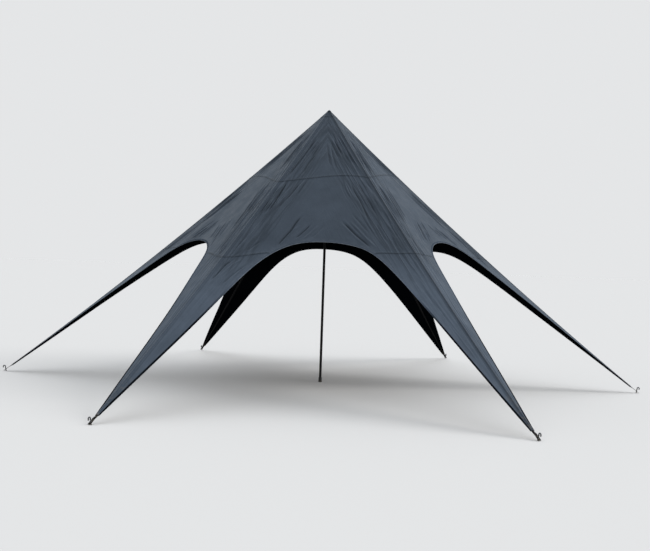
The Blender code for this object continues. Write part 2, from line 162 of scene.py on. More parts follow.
# Creases of the bays that the photo shows, each as (height in mm, half width in mm, places down its line)
FRONT_CREASES = (
    (3.5, 12, (2.6, 1.6), (4.5, 1.0), (6.2, 0.6), (7.4, 0.35)),
    (-3.0, 12, (3.0, 2.6), (4.7, 1.6), (6.0, 1.0), (7.1, 0.7)),
    (3.5, 12, (3.5, 3.8), (5.0, 2.7), (6.2, 1.9), (7.0, 1.6)),
    (-3.0, 11, (4.7, 3.8), (5.9, 2.9), (7.0, 2.5)),
    (2.0, 11, (4.2, 4.6), (5.6, 3.8), (6.8, 3.2)),
    (2.5, 12, (3.1, 7.2), (4.3, 8.2), (5.3, 8.9)),
    (2.5, 12, (3.7, 6.3), (5.2, 6.8), (6.4, 7.1)),
    (-1.6, 12, (2.7, 8.9), (3.9, 9.4), (5.1, 9.8), (5.9, 10.2)),
    (2.2, 11, (2.2, 10.2), (3.6, 10.7), (5.2, 11.1), (6.7, 11.3)),
    (2.5, 10, (7.2, 8.3), (8.2, 8.4), (9.2, 8.7)),
    (-3.0, 12, (7.2, 9.0), (8.3, 9.2), (9.4, 9.5), (10.5, 9.6), (11.6, 9.7)),
    (-2.6, 12, (7.1, 10.0), (8.2, 10.2), (9.5, 10.4), (11.0, 10.5)),
    (2.6, 12, (7.0, 10.8), (8.2, 11.1), (9.8, 11.3)),
    (-3.6, 14, (11.2, 7.2), (12.0, 7.75), (12.9, 8.3), (13.9, 9.1)),
    (2.8, 13, (11.2, 7.9), (12.2, 8.45), (13.0, 8.85), (13.8, 9.45)),
    (-2.0, 13, (10.6, 8.3), (11.5, 8.8), (12.6, 9.25)),
    (2.2, 12, (10.2, 9.2), (11.4, 9.45), (12.6, 9.7)),
    (-2.0, 12, (11.2, 10.1), (12.2, 10.2), (13.3, 10.3)),
    (-5.5, 13, (7.2, 0.35), (8.5, 0.38), (9.8, 0.4), (11.3, 0.38)),
    (5.0, 12, (7.4, 0.65), (8.5, 0.68), (9.7, 0.65), (10.9, 0.6)),
    (-4.0, 12, (7.8, 1.2), (8.8, 1.0), (9.8, 0.9), (10.7, 0.85)),
    (3.5, 12, (8.0, 2.0), (9.1, 1.5), (10.2, 1.25), (10.9, 1.1)),
    (-3.0, 12, (7.6, 2.8), (8.6, 2.4), (9.6, 2.0), (10.5, 1.8)),
    (2.5, 12, (7.4, 3.3), (8.4, 2.9), (9.2, 2.6)),
    (-5.5, 13, (10.8, 4.3), (11.6, 3.9), (12.5, 3.65), (13.2, 3.35), (13.8, 3.15)),
    (3.0, 11, (11.9, 4.2), (12.6, 3.8), (13.1, 3.5)),
    (-4.0, 11, (11.8, 5.1), (12.7, 4.6), (13.3, 4.2)),
    (3.5, 11, (12.0, 5.6), (12.8, 5.2), (13.5, 4.8)),
    (-1.8, 12, (12.0, 6.0), (12.8, 5.6), (13.6, 5.2)),
    (3.5, 12, (10.6, 1.2), (11.8, 1.0), (12.9, 0.85), (14.1, 0.65), (15.3, 0.45)),
    (-2.2, 12, (14.3, 1.0), (15.2, 0.8), (16.2, 0.6)),
    (-2.4, 11, (13.2, 2.0), (13.8, 1.6), (14.5, 1.4)),
    (-4.2, 11, (15.3, 1.1), (16.3, 0.75), (17.3, 0.67), (18.3, 0.6)),
    (-3.6, 11, (14.8, 0.38), (16.0, 0.4), (17.2, 0.42), (18.3, 0.5)),
    (3.0, 11, (15.4, 1.6), (16.5, 1.25), (17.8, 1.05)),
    (-2.6, 11, (15.8, 2.4), (17.0, 2.1), (18.6, 1.8)),
)
RIGHT_FRONT_CREASES = (
    (-5.0, 12, (7.4, 1.5), (8.6, 1.4), (9.4, 1.3)),
    (4.0, 12, (8.6, 1.0), (9.7, 0.9), (10.9, 0.7), (12.2, 0.5)),
    (-3.5, 12, (10.8, 1.4), (11.8, 1.0), (12.8, 0.6)),
    (-1.8, 13, (11.0, 4.0), (12.2, 3.4), (13.3, 2.6)),
    (-3.0, 12, (5.2, 1.9), (6.8, 1.6), (7.9, 1.4)),
)
LEFT_FRONT_CREASES = (
    (-3.5, 13, (7.9, 7.8), (9.2, 8.9), (10.6, 9.5), (11.6, 9.8), (12.6, 10.2)),
    (4.0, 12, (7.3, 11.2), (9.4, 11.4), (11.3, 11.6), (13.2, 11.3)),
    (-3.0, 13, (12.3, 7.9), (13.2, 8.4), (13.8, 8.8)),
    (-4.0, 12, (6.7, 1.0), (8.0, 0.9), (9.6, 0.9), (10.5, 0.8)),
)
HAND_CREASES = {"front": FRONT_CREASES, "right_front": RIGHT_FRONT_CREASES, "left_front": LEFT_FRONT_CREASES}

CREASE_GAIN = 1.9
CREASE_STEPS = 5  # points of its line to each stretch between two places
CREASE_REACH = 0.08
CREASE_TROUGH = 0.32  # dip beside a crest, to 1 for the crest, and how many half widths away
CREASE_TROUGH_AT = 1.9
CREASE_FADE = 0.28  # share of its length over which each end fades
LOOSE_BY_RIDGE = (0.022, 0.060)  # distances over which creases set in
LOOSE_BY_EDGE = (0.022, 0.080)
BILLOW_WAVES = 7
BILLOW_LENGTHS = (0.22, 0.60)
BILLOW_HEIGHT = 0.0007
BILLOW_STRETCH = 0.35  # how much slower they run down the cloth than across it
DEEP_DIP = 0.0056  # depth from which a fold's painted shade is darkest
DIP_SHARPNESS = 1.9
DIP_SHADE = 0.42  # how dark that painted shade is there, to 1 for the cloth
# painted shade along the lines of pull, to 1 for the cloth
STREAK_SHADE = 0.68
COMPANION_GAP = (0.38, 0.55)  # columns
COMPANION_DROP = 0.3  # rows
COMPANION_ROWS = (1.2, 11.2)  # rows between which creases have them
COMPANION_CLEAR = 0.2  # columns from the ridges
COMPANION_WIDTH = 0.9  # to 1 for the crease itself
COMPANION_HEIGHT = (0.45, 0.75)  # to 1 for the crease itself
FAMILY_SPREAD = (0.15, 0.85)  # where a crease may lie within its even share of the width
FAMILY_BEND = 0.08  # columns

# Families of creases in the same manner, for each half of a bay: how many, the ranges of their upper and
# lower rows, the ranges of their columns there, and the ranges of their height and half width in mm
ROOF_FAMILIES = (
    (4, (2.2, 4.2), (5.8, 6.9), (1.2, 4.4), (0.3, 3.0), (2.0, 3.5), (10, 13)),
    (5, (7.1, 8.2), (10.2, 12.2), (0.4, 3.4), (0.35, 2.4), (2.5, 5.0), (10, 14)),
    (4, (10.8, 12.2), (13.0, 13.8), (4.0, 5.8), (3.1, 5.2), (2.5, 5.0), (10, 13)),
    (3, (10.2, 12.8), (14.4, 16.2), (0.6, 1.9), (0.4, 1.5), (2.5, 4.5), (10, 13)),
)
ARM_FAMILIES = (
    (2, (14.4, 17.0), (19.5, 23.0), (0.5, 2.3), (0.6, 2.3), (0.6, 1.5), (9, 13)),
    (1, (17.5, 19.0), (22.5, 24.6), (0.7, 2.2), (0.8, 2.2), (0.5, 1.2), (8, 11)),
)

# Pole, pegs, cap and webbing, their main sizes as in the solids
POLE_RADIUS = 0.016
POLE_JOINTS = (1.16, 2.30)
POLE_TOP = 3.380
POLE_SIDES = 48
TUBE_WALL = 0.0030
TUBE_LIP = 0.0012  # radius of a tube's rounded ends
TUBE_GAP_ABOVE = 0.0002  # how far a tube stops short of its joints
TUBE_GAP_BELOW = 0.0003
SWAGE_AT = 0.030  # dent round the two lower tubes, under their joints
SWAGE_REACH = 0.005
SWAGE_DEPTH = 0.0006
SWAGE_WIDTH = 0.0022
SWAGE_RINGS = 9
TUBE_RINGS = 24  # below its dent, down to the last ring above its end
TUBE_LAST_RING = 0.004
FOOT_SOLE = 0.012
FOOT_RIBS = 4
FOOT_RIB_STEP = 0.010
FOOT_GROOVE = 0.0011
FOOT_GROOVE_HALF = 0.0025  # half its width
FOOT_ROUND = 0.002  # radii of its upper and lower edge
FOOT_SOLE_ROUND = 0.0025
FOOT_GROOVE_RINGS = 7
FOOT_MOUTH = 0.003  # how far its inside shows, and its room round the pole there and at its rim
FOOT_PLAY = (0.0003, 0.0004)
FOOT_SOLE_MIDDLE = 0.002
FOOT_TOP_RADIUS = 0.021
FOOT_BASE_RADIUS = 0.023
FOOT_HEIGHT = 0.060
PLUG_CLEAR = 0.0003  # under the cap
PLUG_ROUND = 0.001
PLUG_DOME_RINGS = 12
PLUG_DOME_FROM = 0.05  # angle of its first ring
PEG_ROD_RADIUS = 0.006
PEG_LEAN = math.radians(12.0)
PEG_STRAIGHT = 0.062
PEG_HOOK_RADIUS = 0.013
PEG_HOOK_END = 0.014
PEG_END_ROUND = 0.003
PEG_END_SHARES = (0.35, 0.7, 0.92)  # of that, where its rings lie
PEG_SIDES = 20
PEG_SHANK_STOPS = (0.0, 0.02, 0.04)
PEG_BEND_RINGS = 19
CAP_SKIRT_RADIUS = 0.110
CAP_THICKNESS = 0.002
CAP_TIP_RADIUS = 0.024
CAP_SOLID_LIFT = 0.0045  # from the canopy's line to the solid cap's inside
CAP_SPOKES = 8  # to half a face
CAP_RINGS = 40
CAP_BLEND = 0.0016  # how softly its faces run into the tip
CAP_TOP_SHARE = 0.004  # share of its reach that its flat top fills
CAP_LIFT = 0.0013  # above the fabric
CAP_HEM_LIFT = 0.0006
CAP_HEM_FROM = (0.86, 0.90)  # shares of its reach over which the hem rises
CAP_BAND_SPREAD = 0.002  # how much softer its bands end
CAP_RIDGE_LEAST = 0.004
CAP_CLOTH = 0.0010  # thickness
WEB_HALF_WIDTH = 0.019
WEB_THICKNESS = 0.0022
WEB_EDGE = 0.35 * WEB_THICKNESS  # how much of it each side loses at the edges
WEB_SHARES = (-1.0, -0.92, -0.5, 0.0, 0.5, 0.92, 1.0)  # points across it, to 1 for its half width
WEB_RIB_PITCH = 0.0030
WEB_THREAD_PITCH = 0.0022
WEB_DROP = 0.0006  # from the canopy's line down to the webbing
WEB_START_RADIUS = 0.050
STRAP_ROWS = (3.94, 3.95, 3.96, 3.97, 3.98)
STRAP_FLAT_FROM = 3.97
STRAP_END = 4.03
STRAP_CORNER = 0.008  # radius of its end's corners
EYE_RADIUS = 0.0070
EYE_SIDES = 48
STRAP_PROBE = 0.001  # step in which the outline round the eye is found
STRAP_PROBES = 60
EYE_RINGS = ((0.0, -0.0003), (0.0008, 0.0007), (0.0028, 0.0008), (0.0042, 0.0))

SLATE = (0.0222, 0.0274, 0.0352)
CAP_TONE = 0.80  # the cap's double cloth is darker
# the hem's colour to the cloth's: partly its own tone, partly painted sheen in place of the sheen the hem
# lacks
HEM_TONE_AND_SHEEN = 1.30
CLOTH_FINISH = (0.50, 0.055, 0.065, 1.0)  # roughness, specular level, sheen and dustiness
COATING_FINISH = (0.75, 0.0, 0.0, 0.0)
FABRIC_TINT = (0.62, 0.81, 1.0)
BLACK_COATING = (0.0009, 0.0013, 0.0018)
PALE_DUST = (0.16, 0.165, 0.17)
DRIED_EARTH = (0.15, 0.125, 0.09)
# pale fold of the hem: wear and a painted highlight
PALE_FOLD_AND_HIGHLIGHT = (0.17, 0.18, 0.19)
THREAD_PITCH = 0.0011
THREAD_HALF_WIDTH = 0.0006  # of a stitch
STITCH_LENGTH = 0.004
STITCH_HEIGHT = 0.0004
WEAVE_HEIGHT = 0.00012
RIDGE_STITCHES = 0.0155  # distances of the rows of stitches from the ridge, seam and hem's edge
SEAM_STITCHES = (0.003, 0.0105)
HEM_STITCHES = 0.004

# Light: a sky that brightens towards its top, as on a dull day, and a soft key from the right
HORIZON = (0.78, 0.79, 0.80)
ZENITH = (2.25, 2.42, 2.62)
SKY_RISE_FROM = 0.28  # sine of the height from which the sky brightens
SKY_STEPS = 400
KEY_COLOUR = (0.96, 0.98, 1.0)
KEY_STRENGTH = 2.9
KEY_ANGLE = 35.0  # degrees
KEY_TOWARDS = (0.90, -0.10, 0.60)
FLOOR_RADIUS = 150.0
FLOOR_DROP = 0.0006


# The canopy's lines and its net

def outward(azimuth):
    return np.array((math.sin(azimuth), -math.cos(azimuth)))


def unit(vectors):
    return vectors / np.linalg.norm(vectors, axis=-1, keepdims=True)


def travelled(points, axis=0):
    """Distance of each point from the first one of its line, measured along the line."""
    steps = np.linalg.norm(np.diff(points, axis=axis), axis=-1)
    return np.insert(steps.cumsum(axis=axis), 0, 0.0, axis=axis)


def smooth_step(value, low, high):
    share = np.clip((value - low) / (high - low), 0.0, 1.0)
    return share * share * (3.0 - 2.0 * share)


def ridge_height(radius):
    share = radius / PEG_RADIUS
    straight = PEAK_HEIGHT + (STRAP_HEIGHT - PEAK_HEIGHT) * share
    return straight - 4.0 * RIDGE_SAG * share * (1.0 - share)


def ridge_point(side, radius):
    return np.array((*(outward(side * HALF_BAY) * radius), ridge_height(radius)))


def ridge_radius(row):
    """Radius of a ridge's point by its row, down to the root of the arms."""
    radii = (PEAK_HOLE_RADIUS, PEAK_PATCH_RADIUS, CROWN_SEAM_RADIUS, ARM_SEAM_RADIUS)
    return np.interp(row, (0.0, 1.0, CROWN_END, ROOF_END), radii)


def arch_edge_point(side, share):
    """A point on the edge of the bay's arch, from its middle (0) to the corner of an arm's tip (1)."""
    along = outward(side * HALF_BAY)
    across = outward(side * (HALF_BAY - math.pi / 2.0))
    middle = np.array((0.0, -ARCH_RADIUS, ARCH_HEIGHT))
    middle_handle = middle + np.array((side * ARCH_TOP_REACH, 0.0, 0.0))
    tip = np.array((*(along * TIP_RADIUS + across * TIP_HALF_WIDTH), ridge_height(TIP_RADIUS) - TIP_DROP))
    tip_handle = tip + np.array((*(across * ARCH_TIP_SPREAD - along), ARCH_TIP_RISE)) * ARCH_TIP_REACH
    rest = 1.0 - share
    near_middle = rest ** 3 * middle + 3.0 * rest ** 2 * share * middle_handle
    return near_middle + 3.0 * rest * share ** 2 * tip_handle + share ** 3 * tip


def arm_row(side, share):
    """Ridge point and edge point of one row of an arm, from the seam at its root (0) to its tip (1)."""
    edge = arch_edge_point(side, ARM_SEAM_SHARE + (1.0 - ARM_SEAM_SHARE) * share)
    along = outward(side * HALF_BAY)
    root_lead = ARM_SEAM_RADIUS - arch_edge_point(side, ARM_SEAM_SHARE)[:2] @ along
    return ridge_point(side, edge[:2] @ along + root_lead * (1.0 - share)), edge


def net_borders(fine):
    """A bay's grid with only its held lines filled in: ridges, flat peak, arch edge and arm edges."""
    columns, arm = COLUMNS * fine, ARM_COLUMNS * fine
    roof_end, rows = ROOF_END * fine, ARM_END * fine
    points = np.full((rows + 1, columns + 1, 3), np.nan)
    for row in range(roof_end + 1):
        for side, column in ((-1, 0), (1, columns)):
            points[row, column] = ridge_point(side, ridge_radius(row / fine))
    for row in range(fine + 1):
        points[row] = np.linspace(points[row, 0], points[row, columns], columns + 1)
    for column in range(arm, columns - arm + 1):
        offset = (column - columns / 2) / (columns / 2 - arm)
        points[roof_end, column] = arch_edge_point(math.copysign(1.0, offset), abs(offset) * ARM_SEAM_SHARE)
    for row in range(roof_end + 1, rows + 1):
        share = (row - roof_end) / (rows - roof_end)
        points[row, 0], points[row, arm] = arm_row(-1, share)
        points[row, columns], points[row, columns - arm] = arm_row(1, share)
    for start, end in ((0, arm), (columns - arm, columns)):
        points[rows, start:end + 1] = np.linspace(points[rows, start], points[rows, end], arm + 1)
    return points


def read_grid(grid, rows, columns):
    """Values of a grid between its lines, at places given by arrays of rows and of columns."""
    row = np.clip(np.floor(rows).astype(int), 0, grid.shape[0] - 2)
    column = np.clip(np.floor(columns).astype(int), 0, grid.shape[1] - 2)
    down, right = (rows - row)[..., None], (columns - column)[..., None]
    upper = grid[row, column] * (1.0 - right) + grid[row, column + 1] * right
    lower = grid[row + 1, column] * (1.0 - right) + grid[row + 1, column + 1] * right
    return upper * (1.0 - down) + lower * down


def finer(coarse, shape):
    """A coarse grid read at the places of a finer one."""
    lines = (np.linspace(0, coarse.shape[axis] - 1, shape[axis]) for axis in (0, 1))
    return read_grid(coarse, *np.meshgrid(*lines, indexing="ij"))


def bay_net():
    """The canopy of one bay as a fine grid of points that each lie at the mean of their neighbours.

    Solved on ever finer grids, by sweeps over the grid's black and white fields in turn.
    """
    net = None
    for fine in FINE_LEVELS:
        borders = net_borders(fine)
        held = ~np.isnan(borders[:, :, 0])
        inside = np.ones_like(held)
        inside[ROOF_END * fine + 1:, ARM_COLUMNS * fine + 1:(COLUMNS - ARM_COLUMNS) * fine] = False
        guess = np.nanmean(borders.reshape(-1, 3), axis=0) if net is None else finer(net, borders.shape)
        work = np.where(held[:, :, None], borders, guess)
        white = np.indices(held.shape).sum(axis=0) % 2 == 1
        pull = 2.0 / (1.0 + math.sin(math.pi / (SWEEP_SPAN * fine)))
        for _ in range(FIRST_SWEEPS if net is None else LATER_SWEEPS):
            for field in (white, ~white):
                mean = work.copy()
                mean[1:-1, 1:-1] = (work[:-2, 1:-1] + work[2:, 1:-1] + work[1:-1, :-2] + work[1:-1, 2:]) / 4.0
                move = field & inside & ~held
                work[move] += (mean[move] - work[move]) * pull
        net = work
    return fill_opening(net)


def fill_opening(net):
    """The net with its places below the arch, between the arms, drawn up to the arch's edge."""
    net[ROOF_LINE + 1:, ARM_LINE + 1:-ARM_LINE - 1] = net[ROOF_LINE, ARM_LINE + 1:-ARM_LINE - 1]
    return net


def ease(bay, share):
    """Outward and upward shift in metres of a bay's arch edge at shares of its way from the middle."""
    bumps = np.exp(-((share[..., None] - np.array(EASE_PLACES)) / EASE_WIDTH) ** 2)
    return bumps @ np.array(ARCH_EASE[bay]).T / 1000.0 * (1.0 - share ** 6)[..., None]


def eased_net(net, bay):
    """The net with its arch hung as in the photo. Its ridges stay, and the shift fades towards the crown."""
    row, column = np.indices(net.shape[:2]) / FINE
    offset = np.clip((column - COLUMNS / 2) / (COLUMNS / 2 - ARM_COLUMNS), -1.0, 1.0)
    down = np.clip((row - ROOF_END) / (ARM_END - ROOF_END), 0.0, 1.0)
    on_arm = np.sign(offset) * (np.abs(offset) == 1.0)
    share = offset * ARM_SEAM_SHARE + on_arm * (1.0 - ARM_SEAM_SHARE) * down
    strength = smooth_step(row, EASE_FROM_ROW, ROOF_END)
    for side in (slice(0, ARM_LINE + 1), slice(-1, -ARM_LINE - 2, -1)):
        from_ridge = np.linalg.norm(net[:, side] - net[:, side][:, :1], axis=2)
        room = np.maximum(from_ridge[:, -1:] - EASE_CLEAR, 0.001)
        strength[:, side] *= np.clip((from_ridge - EASE_CLEAR) / room, 0.0, 1.0) ** EASE_BEND
    outwards, upwards = np.moveaxis(ease(bay, share) * strength[..., None], 2, 0)
    return fill_opening(net + np.stack((np.zeros_like(outwards), -outwards, upwards), axis=2))


def net_normals(net):
    """Outward direction at each point of the net. On a ridge it lies in the ridge's own upright plane and
    is long enough for both bays to rise alike there."""
    cells = np.cross(net[1:, 1:] - net[:-1, :-1], net[:-1, 1:] - net[1:, :-1])
    cells[ROOF_LINE:, ARM_LINE:-ARM_LINE] = 0.0
    total = np.zeros_like(net)
    for rows in (slice(0, -1), slice(1, None)):
        for columns in (slice(0, -1), slice(1, None)):
            total[rows, columns] += cells
    length = np.linalg.norm(total, axis=2, keepdims=True)
    normals = total / np.where(length == 0.0, 1.0, length)
    for side, column in ((-1, 0), (1, -1)):
        across = np.array((*outward(side * (HALF_BAY + math.pi / 2.0)), 0.0))
        own = normals[:, column]
        upright = own - (own @ across)[:, None] * across
        normals[:, column] = upright / (upright * own).sum(axis=1, keepdims=True)
    return normals


def arch_line(net):
    """The arch's edge from the left arm's tip over its middle to the right arm's tip."""
    below = net[ROOF_LINE:]
    middle = below[0, ARM_LINE + 1:-ARM_LINE - 1]
    return np.concatenate((below[::-1, ARM_LINE], middle, below[:, -ARM_LINE - 1]))


def distance_to_line(points, line, reach=None):
    """Each point's distance to a line of points, and how far along the line (0 to 1) its nearest place is."""
    nearest = np.full(len(points), np.inf)
    along = np.zeros(len(points))
    starts = travelled(line)
    near = np.arange(len(points))
    if reach is not None:
        low, high = line.min(axis=0) - reach, line.max(axis=0) + reach
        near = np.nonzero(((points > low) & (points < high)).all(axis=1))[0]
    close = points[near]
    for start, end, before in zip(line[:-1], line[1:], starts):
        run = end - start
        step = np.linalg.norm(run)
        share = np.clip((close - start) @ run / step ** 2, 0.0, 1.0)
        distance = np.linalg.norm(close - start - share[:, None] * run, axis=1)
        better = distance < nearest[near]
        nearest[near[better]] = distance[better]
        along[near[better]] = (before + share[better] * step) / starts[-1]
    return nearest, along


def nearest_of(points, lines):
    return np.min([distance_to_line(points, line)[0] for line in lines], axis=0)


# Creases

def crease_line(net, places):
    """A crease's line on the net, through its (row, column) places and smooth between them."""
    places = np.array(places, float)
    last = len(places) - 1
    longer = np.vstack((2.0 * places[0] - places[1], places, 2.0 * places[-1] - places[-2]))
    slopes = (longer[2:] - longer[:-2]) / 2.0
    steps = np.linspace(0.0, last, CREASE_STEPS * last + 1)
    start = np.minimum(steps.astype(int), last - 1)
    share = (steps - start)[:, None]
    rise = share * share * (3.0 - 2.0 * share)
    lean = share * (1.0 - share) * ((1.0 - share) * slopes[start] - share * slopes[start + 1])
    rows, columns = (places[start] * (1.0 - rise) + places[start + 1] * rise + lean).T
    return read_grid(net, rows * FINE, columns * FINE)


def family_creases(families, random):
    """Creases of each family on both halves of a bay, every second one a valley."""
    creases = []
    for count, top_rows, low_rows, top_columns, low_columns, heights, widths in families:
        for mirrored in (False, True):
            for index in range(count):
                share = (index + random.uniform(*FAMILY_SPREAD)) / count
                top = (random.uniform(*top_rows), np.interp(share, (0.0, 1.0), top_columns))
                low = (random.uniform(*low_rows), np.interp(share, (0.0, 1.0), low_columns))
                bend = random.uniform(-FAMILY_BEND, FAMILY_BEND)
                places = (top, ((top[0] + low[0]) / 2.0, (top[1] + low[1]) / 2.0 + bend), low)
                height = random.uniform(*heights) * (-1.0 if index % 2 else 1.0)
                width = random.uniform(*widths)
                if mirrored:
                    places = tuple((row, COLUMNS - column) for row, column in places)
                creases.append((height, width, *places))
    return creases


def companions(creases, random):
    """Fainter creases beside each crease, as taut cloth has them, shorter and of the other sign."""
    more = []
    for height, width, *places in creases:
        for side in (-1.0, 1.0):
            gap = random.uniform(*COMPANION_GAP) * side
            drop = random.uniform(-COMPANION_DROP, COMPANION_DROP)
            beside = tuple((row + drop, column + gap) for row, column in places)
            rows_fit = all(COMPANION_ROWS[0] < row < COMPANION_ROWS[1] for row, _ in beside)
            if rows_fit and all(COMPANION_CLEAR < column < COLUMNS - COMPANION_CLEAR for _, column in beside):
                lift = -height * random.uniform(*COMPANION_HEIGHT)
                more.append((lift, COMPANION_WIDTH * width, *beside))
    return more


def bay_creases(bay, seed):
    random = np.random.default_rng(seed)
    creases = list(HAND_CREASES.get(bay, ()))
    if bay != "front":
        creases += family_creases(ROOF_FAMILIES, random)
    return creases + companions(creases, random) + family_creases(ARM_FAMILIES, random)


def crease_heights(net, points, creases):
    """How far the creases lift or lower each point. Each has a crest and a shallow dip on both sides."""
    heights = np.zeros(len(points))
    for height, half_width, *places in creases:
        distance, along = distance_to_line(points, crease_line(net, places), reach=CREASE_REACH)
        spread = distance / (half_width / 1000.0)
        crest = np.exp(-spread ** 2) - CREASE_TROUGH * np.exp(-(spread - CREASE_TROUGH_AT) ** 2)
        ends = smooth_step(along, 0.0, CREASE_FADE) * smooth_step(1.0 - along, 0.0, CREASE_FADE)
        heights += np.where(np.isfinite(distance), CREASE_GAIN * height / 1000.0 * crest * ends, 0.0)
    return heights


def billow_heights(points, seed):
    """A slow unevenness of the stretched cloth, a few long waves across one another."""
    random = np.random.default_rng(seed + 100)
    heights = np.zeros(len(points))
    for _ in range(BILLOW_WAVES):
        turn = random.uniform(0.0, math.tau)
        wave = random.uniform(*BILLOW_LENGTHS)
        across = np.array((math.cos(turn), *[BILLOW_STRETCH * math.sin(turn)] * 2))
        heights += np.sin(points @ across * math.tau / wave + random.uniform(0.0, math.tau))
    return heights * BILLOW_HEIGHT


# Sheets

def grid_lines(stops, to_unit, close_to=()):
    """Lines over each stretch between the stops, in an even number of cells, closer beside seams."""
    lines = [stops[0]]
    for start, end in zip(stops, stops[1:]):
        inner = list(np.linspace(start, end, max(1, round((end - start) * to_unit)) + 1)[1:-1])
        inner += [line + step for line in close_to for step in CLOSE_STEPS if start < line + step < end]
        kept = []
        for line in sorted(inner):
            if line - (kept[-1] if kept else start) > CLOSEST and end - line > CLOSEST:
                kept.append(line)
        if len(kept) % 2 == 0:
            whole = [start, *kept, end]
            widest = max(range(len(whole) - 1), key=lambda place: whole[place + 1] - whole[place])
            kept.append((whole[widest] + whole[widest + 1]) / 2.0)
        lines += [*sorted(kept), end]
    return np.array(lines, float)


def shifted_rows(rows, columns, shifts):
    """Rows of the net for a panel's rows, so that its seams cross the ridges where they should."""
    (crown_left, crown_right), (arm_left, arm_right) = shifts
    across = smooth_step(columns / COLUMNS, 0.0, 1.0)
    crown = crown_left * (1.0 - across) + crown_right * across
    left = np.clip(columns / ARM_COLUMNS, 0.0, 1.0)
    right = np.clip((COLUMNS - columns) / ARM_COLUMNS, 0.0, 1.0)
    arm = arm_left * (1.0 - left) + 4.0 * ARM_SEAM_HANG * left * (1.0 - left)
    arm += arm_right * (1.0 - right) + 4.0 * ARM_SEAM_HANG * right * (1.0 - right)
    near_crown, near_arm = (
        smooth_step(1.0 - np.abs(rows - seam) / SEAM_REACH, 0.0, 1.0) for seam in (CROWN_END, ROOF_END))
    return rows + crown * near_crown + arm * near_arm


class Panel:
    """One panel of a bay before it is creased: its points, directions and distances to what borders it."""

    def __init__(self, net, normals, shifts, rows, columns, lap_row=None, flap=None):
        self.shape = (len(rows), len(columns))
        self.rows, self.columns = np.repeat(rows, len(columns)), np.tile(columns, len(rows))
        places = (shifted_rows(self.rows, self.columns, shifts) * FINE, self.columns * FINE)
        self.points, self.normals = read_grid(net, *places), read_grid(normals, *places)
        self.cells = np.ones((len(rows) - 1, len(columns) - 1), bool)
        if flap is not None:
            between = (columns[:-1] >= flap[0]) & (columns[1:] <= flap[1])
            self.cells[np.ix_(rows[1:] > lap_row, between)] = False
        self.lap_lift = np.zeros(len(self.points))
        if lap_row is not None:
            self.lap_lift = LAP_LIFT * smooth_step(self.rows, lap_row - LAP_RISE, lap_row)
        seams = []
        for row, first, last in (
                (CROWN_END, 0, COLUMNS), (ROOF_END, 0, ARM_COLUMNS),
                (ROOF_END, COLUMNS - ARM_COLUMNS, COLUMNS)):
            across = np.linspace(first, last, 4 * (last - first) + 1)
            seams.append(read_grid(net, shifted_rows(float(row), across, shifts) * FINE, across * FINE))
        self.ridge = nearest_of(self.points, (net[::FINE // 2, 0], net[::FINE // 2, -1]))
        self.edge = nearest_of(self.points, (arch_line(net)[::3],))
        self.seam = nearest_of(self.points, seams)
        self.measure()

    def measure(self):
        """Each point's place on the flat cloth in metres, from the middle of its row and its top, and the
        cloth's width, length and area."""
        points = self.points.reshape(*self.shape, 3)
        across = travelled(points, 1)
        across -= across[:, -1:] / 2.0
        down = np.broadcast_to(travelled(points).mean(axis=1, keepdims=True), self.shape)
        self.cloth = np.stack((across, down), axis=2).reshape(-1, 2)
        self.flat_size = tuple(np.ptp(self.cloth, axis=0).tolist())
        corners = np.cross(points[1:, 1:] - points[:-1, :-1], points[:-1, 1:] - points[1:, :-1])
        self.area = float((np.linalg.norm(corners, axis=2) / 2.0)[self.cells].sum())

    def pull_heights(self, seed):
        """Lines of pull beside each ridge, which come and go along it."""
        heights = np.zeros(len(self.rows))
        for number, (distance, half_width, height) in enumerate(PULL_LINES):
            line = np.exp(-((self.ridge - distance) / half_width) ** 2)
            phases = np.random.default_rng(1000 + 10 * seed + number).uniform(0.0, math.tau, (2, 3))
            strength = np.full(len(self.rows), PULL_MEAN)
            for wave, (left, right) in zip(PULL_WAVES, phases.T):
                phase = np.where(self.columns > COLUMNS / 2, right, left)
                strength += PULL_SWING * np.sin(self.rows * math.tau / wave + phase)
            heights += height * line * np.clip(strength, 0.0, PULL_MOST)
        return heights * (1.0 - PULL_FADE * smooth_step(self.rows, *PULL_FADE_ROWS))

    def relief(self, net, creases, seed):
        """How far the outer side stands off the net: bands over webbing and seams, creases and billows."""
        band = BAND_LIFT * (1.0 - smooth_step(self.ridge, BAND_HALF_WIDTH - BAND_EDGE, BAND_HALF_WIDTH))
        groove = BAND_GROOVE * np.exp(-((self.ridge - BAND_GROOVE_AT) / BAND_GROOVE_WIDTH) ** 2)
        seam = SEAM_LIFT * (1.0 - smooth_step(self.seam, SEAM_HALF_WIDTH - SEAM_EDGE, SEAM_HALF_WIDTH))
        loose = smooth_step(self.ridge, *LOOSE_BY_RIDGE) * smooth_step(self.edge, *LOOSE_BY_EDGE)
        folds = crease_heights(net, self.points, creases) + self.pull_heights(seed)
        waves = folds + billow_heights(self.points, seed)
        calm_peak = smooth_step(self.rows, 1.0, 2.0)
        # depth in the folds, from 0 to 1, which sets the painted shade there
        self.dip = np.clip(-folds * loose * calm_peak / DEEP_DIP, 0.0, 1.0) ** DIP_SHARPNESS
        return band - (groove - waves * loose) * calm_peak + seam


def turn_about_pole(points, degrees):
    cos, sin = math.cos(math.radians(degrees)), math.sin(math.radians(degrees))
    return points @ np.array(((cos, -sin, 0.0), (sin, cos, 0.0), (0.0, 0.0, 1.0))).T


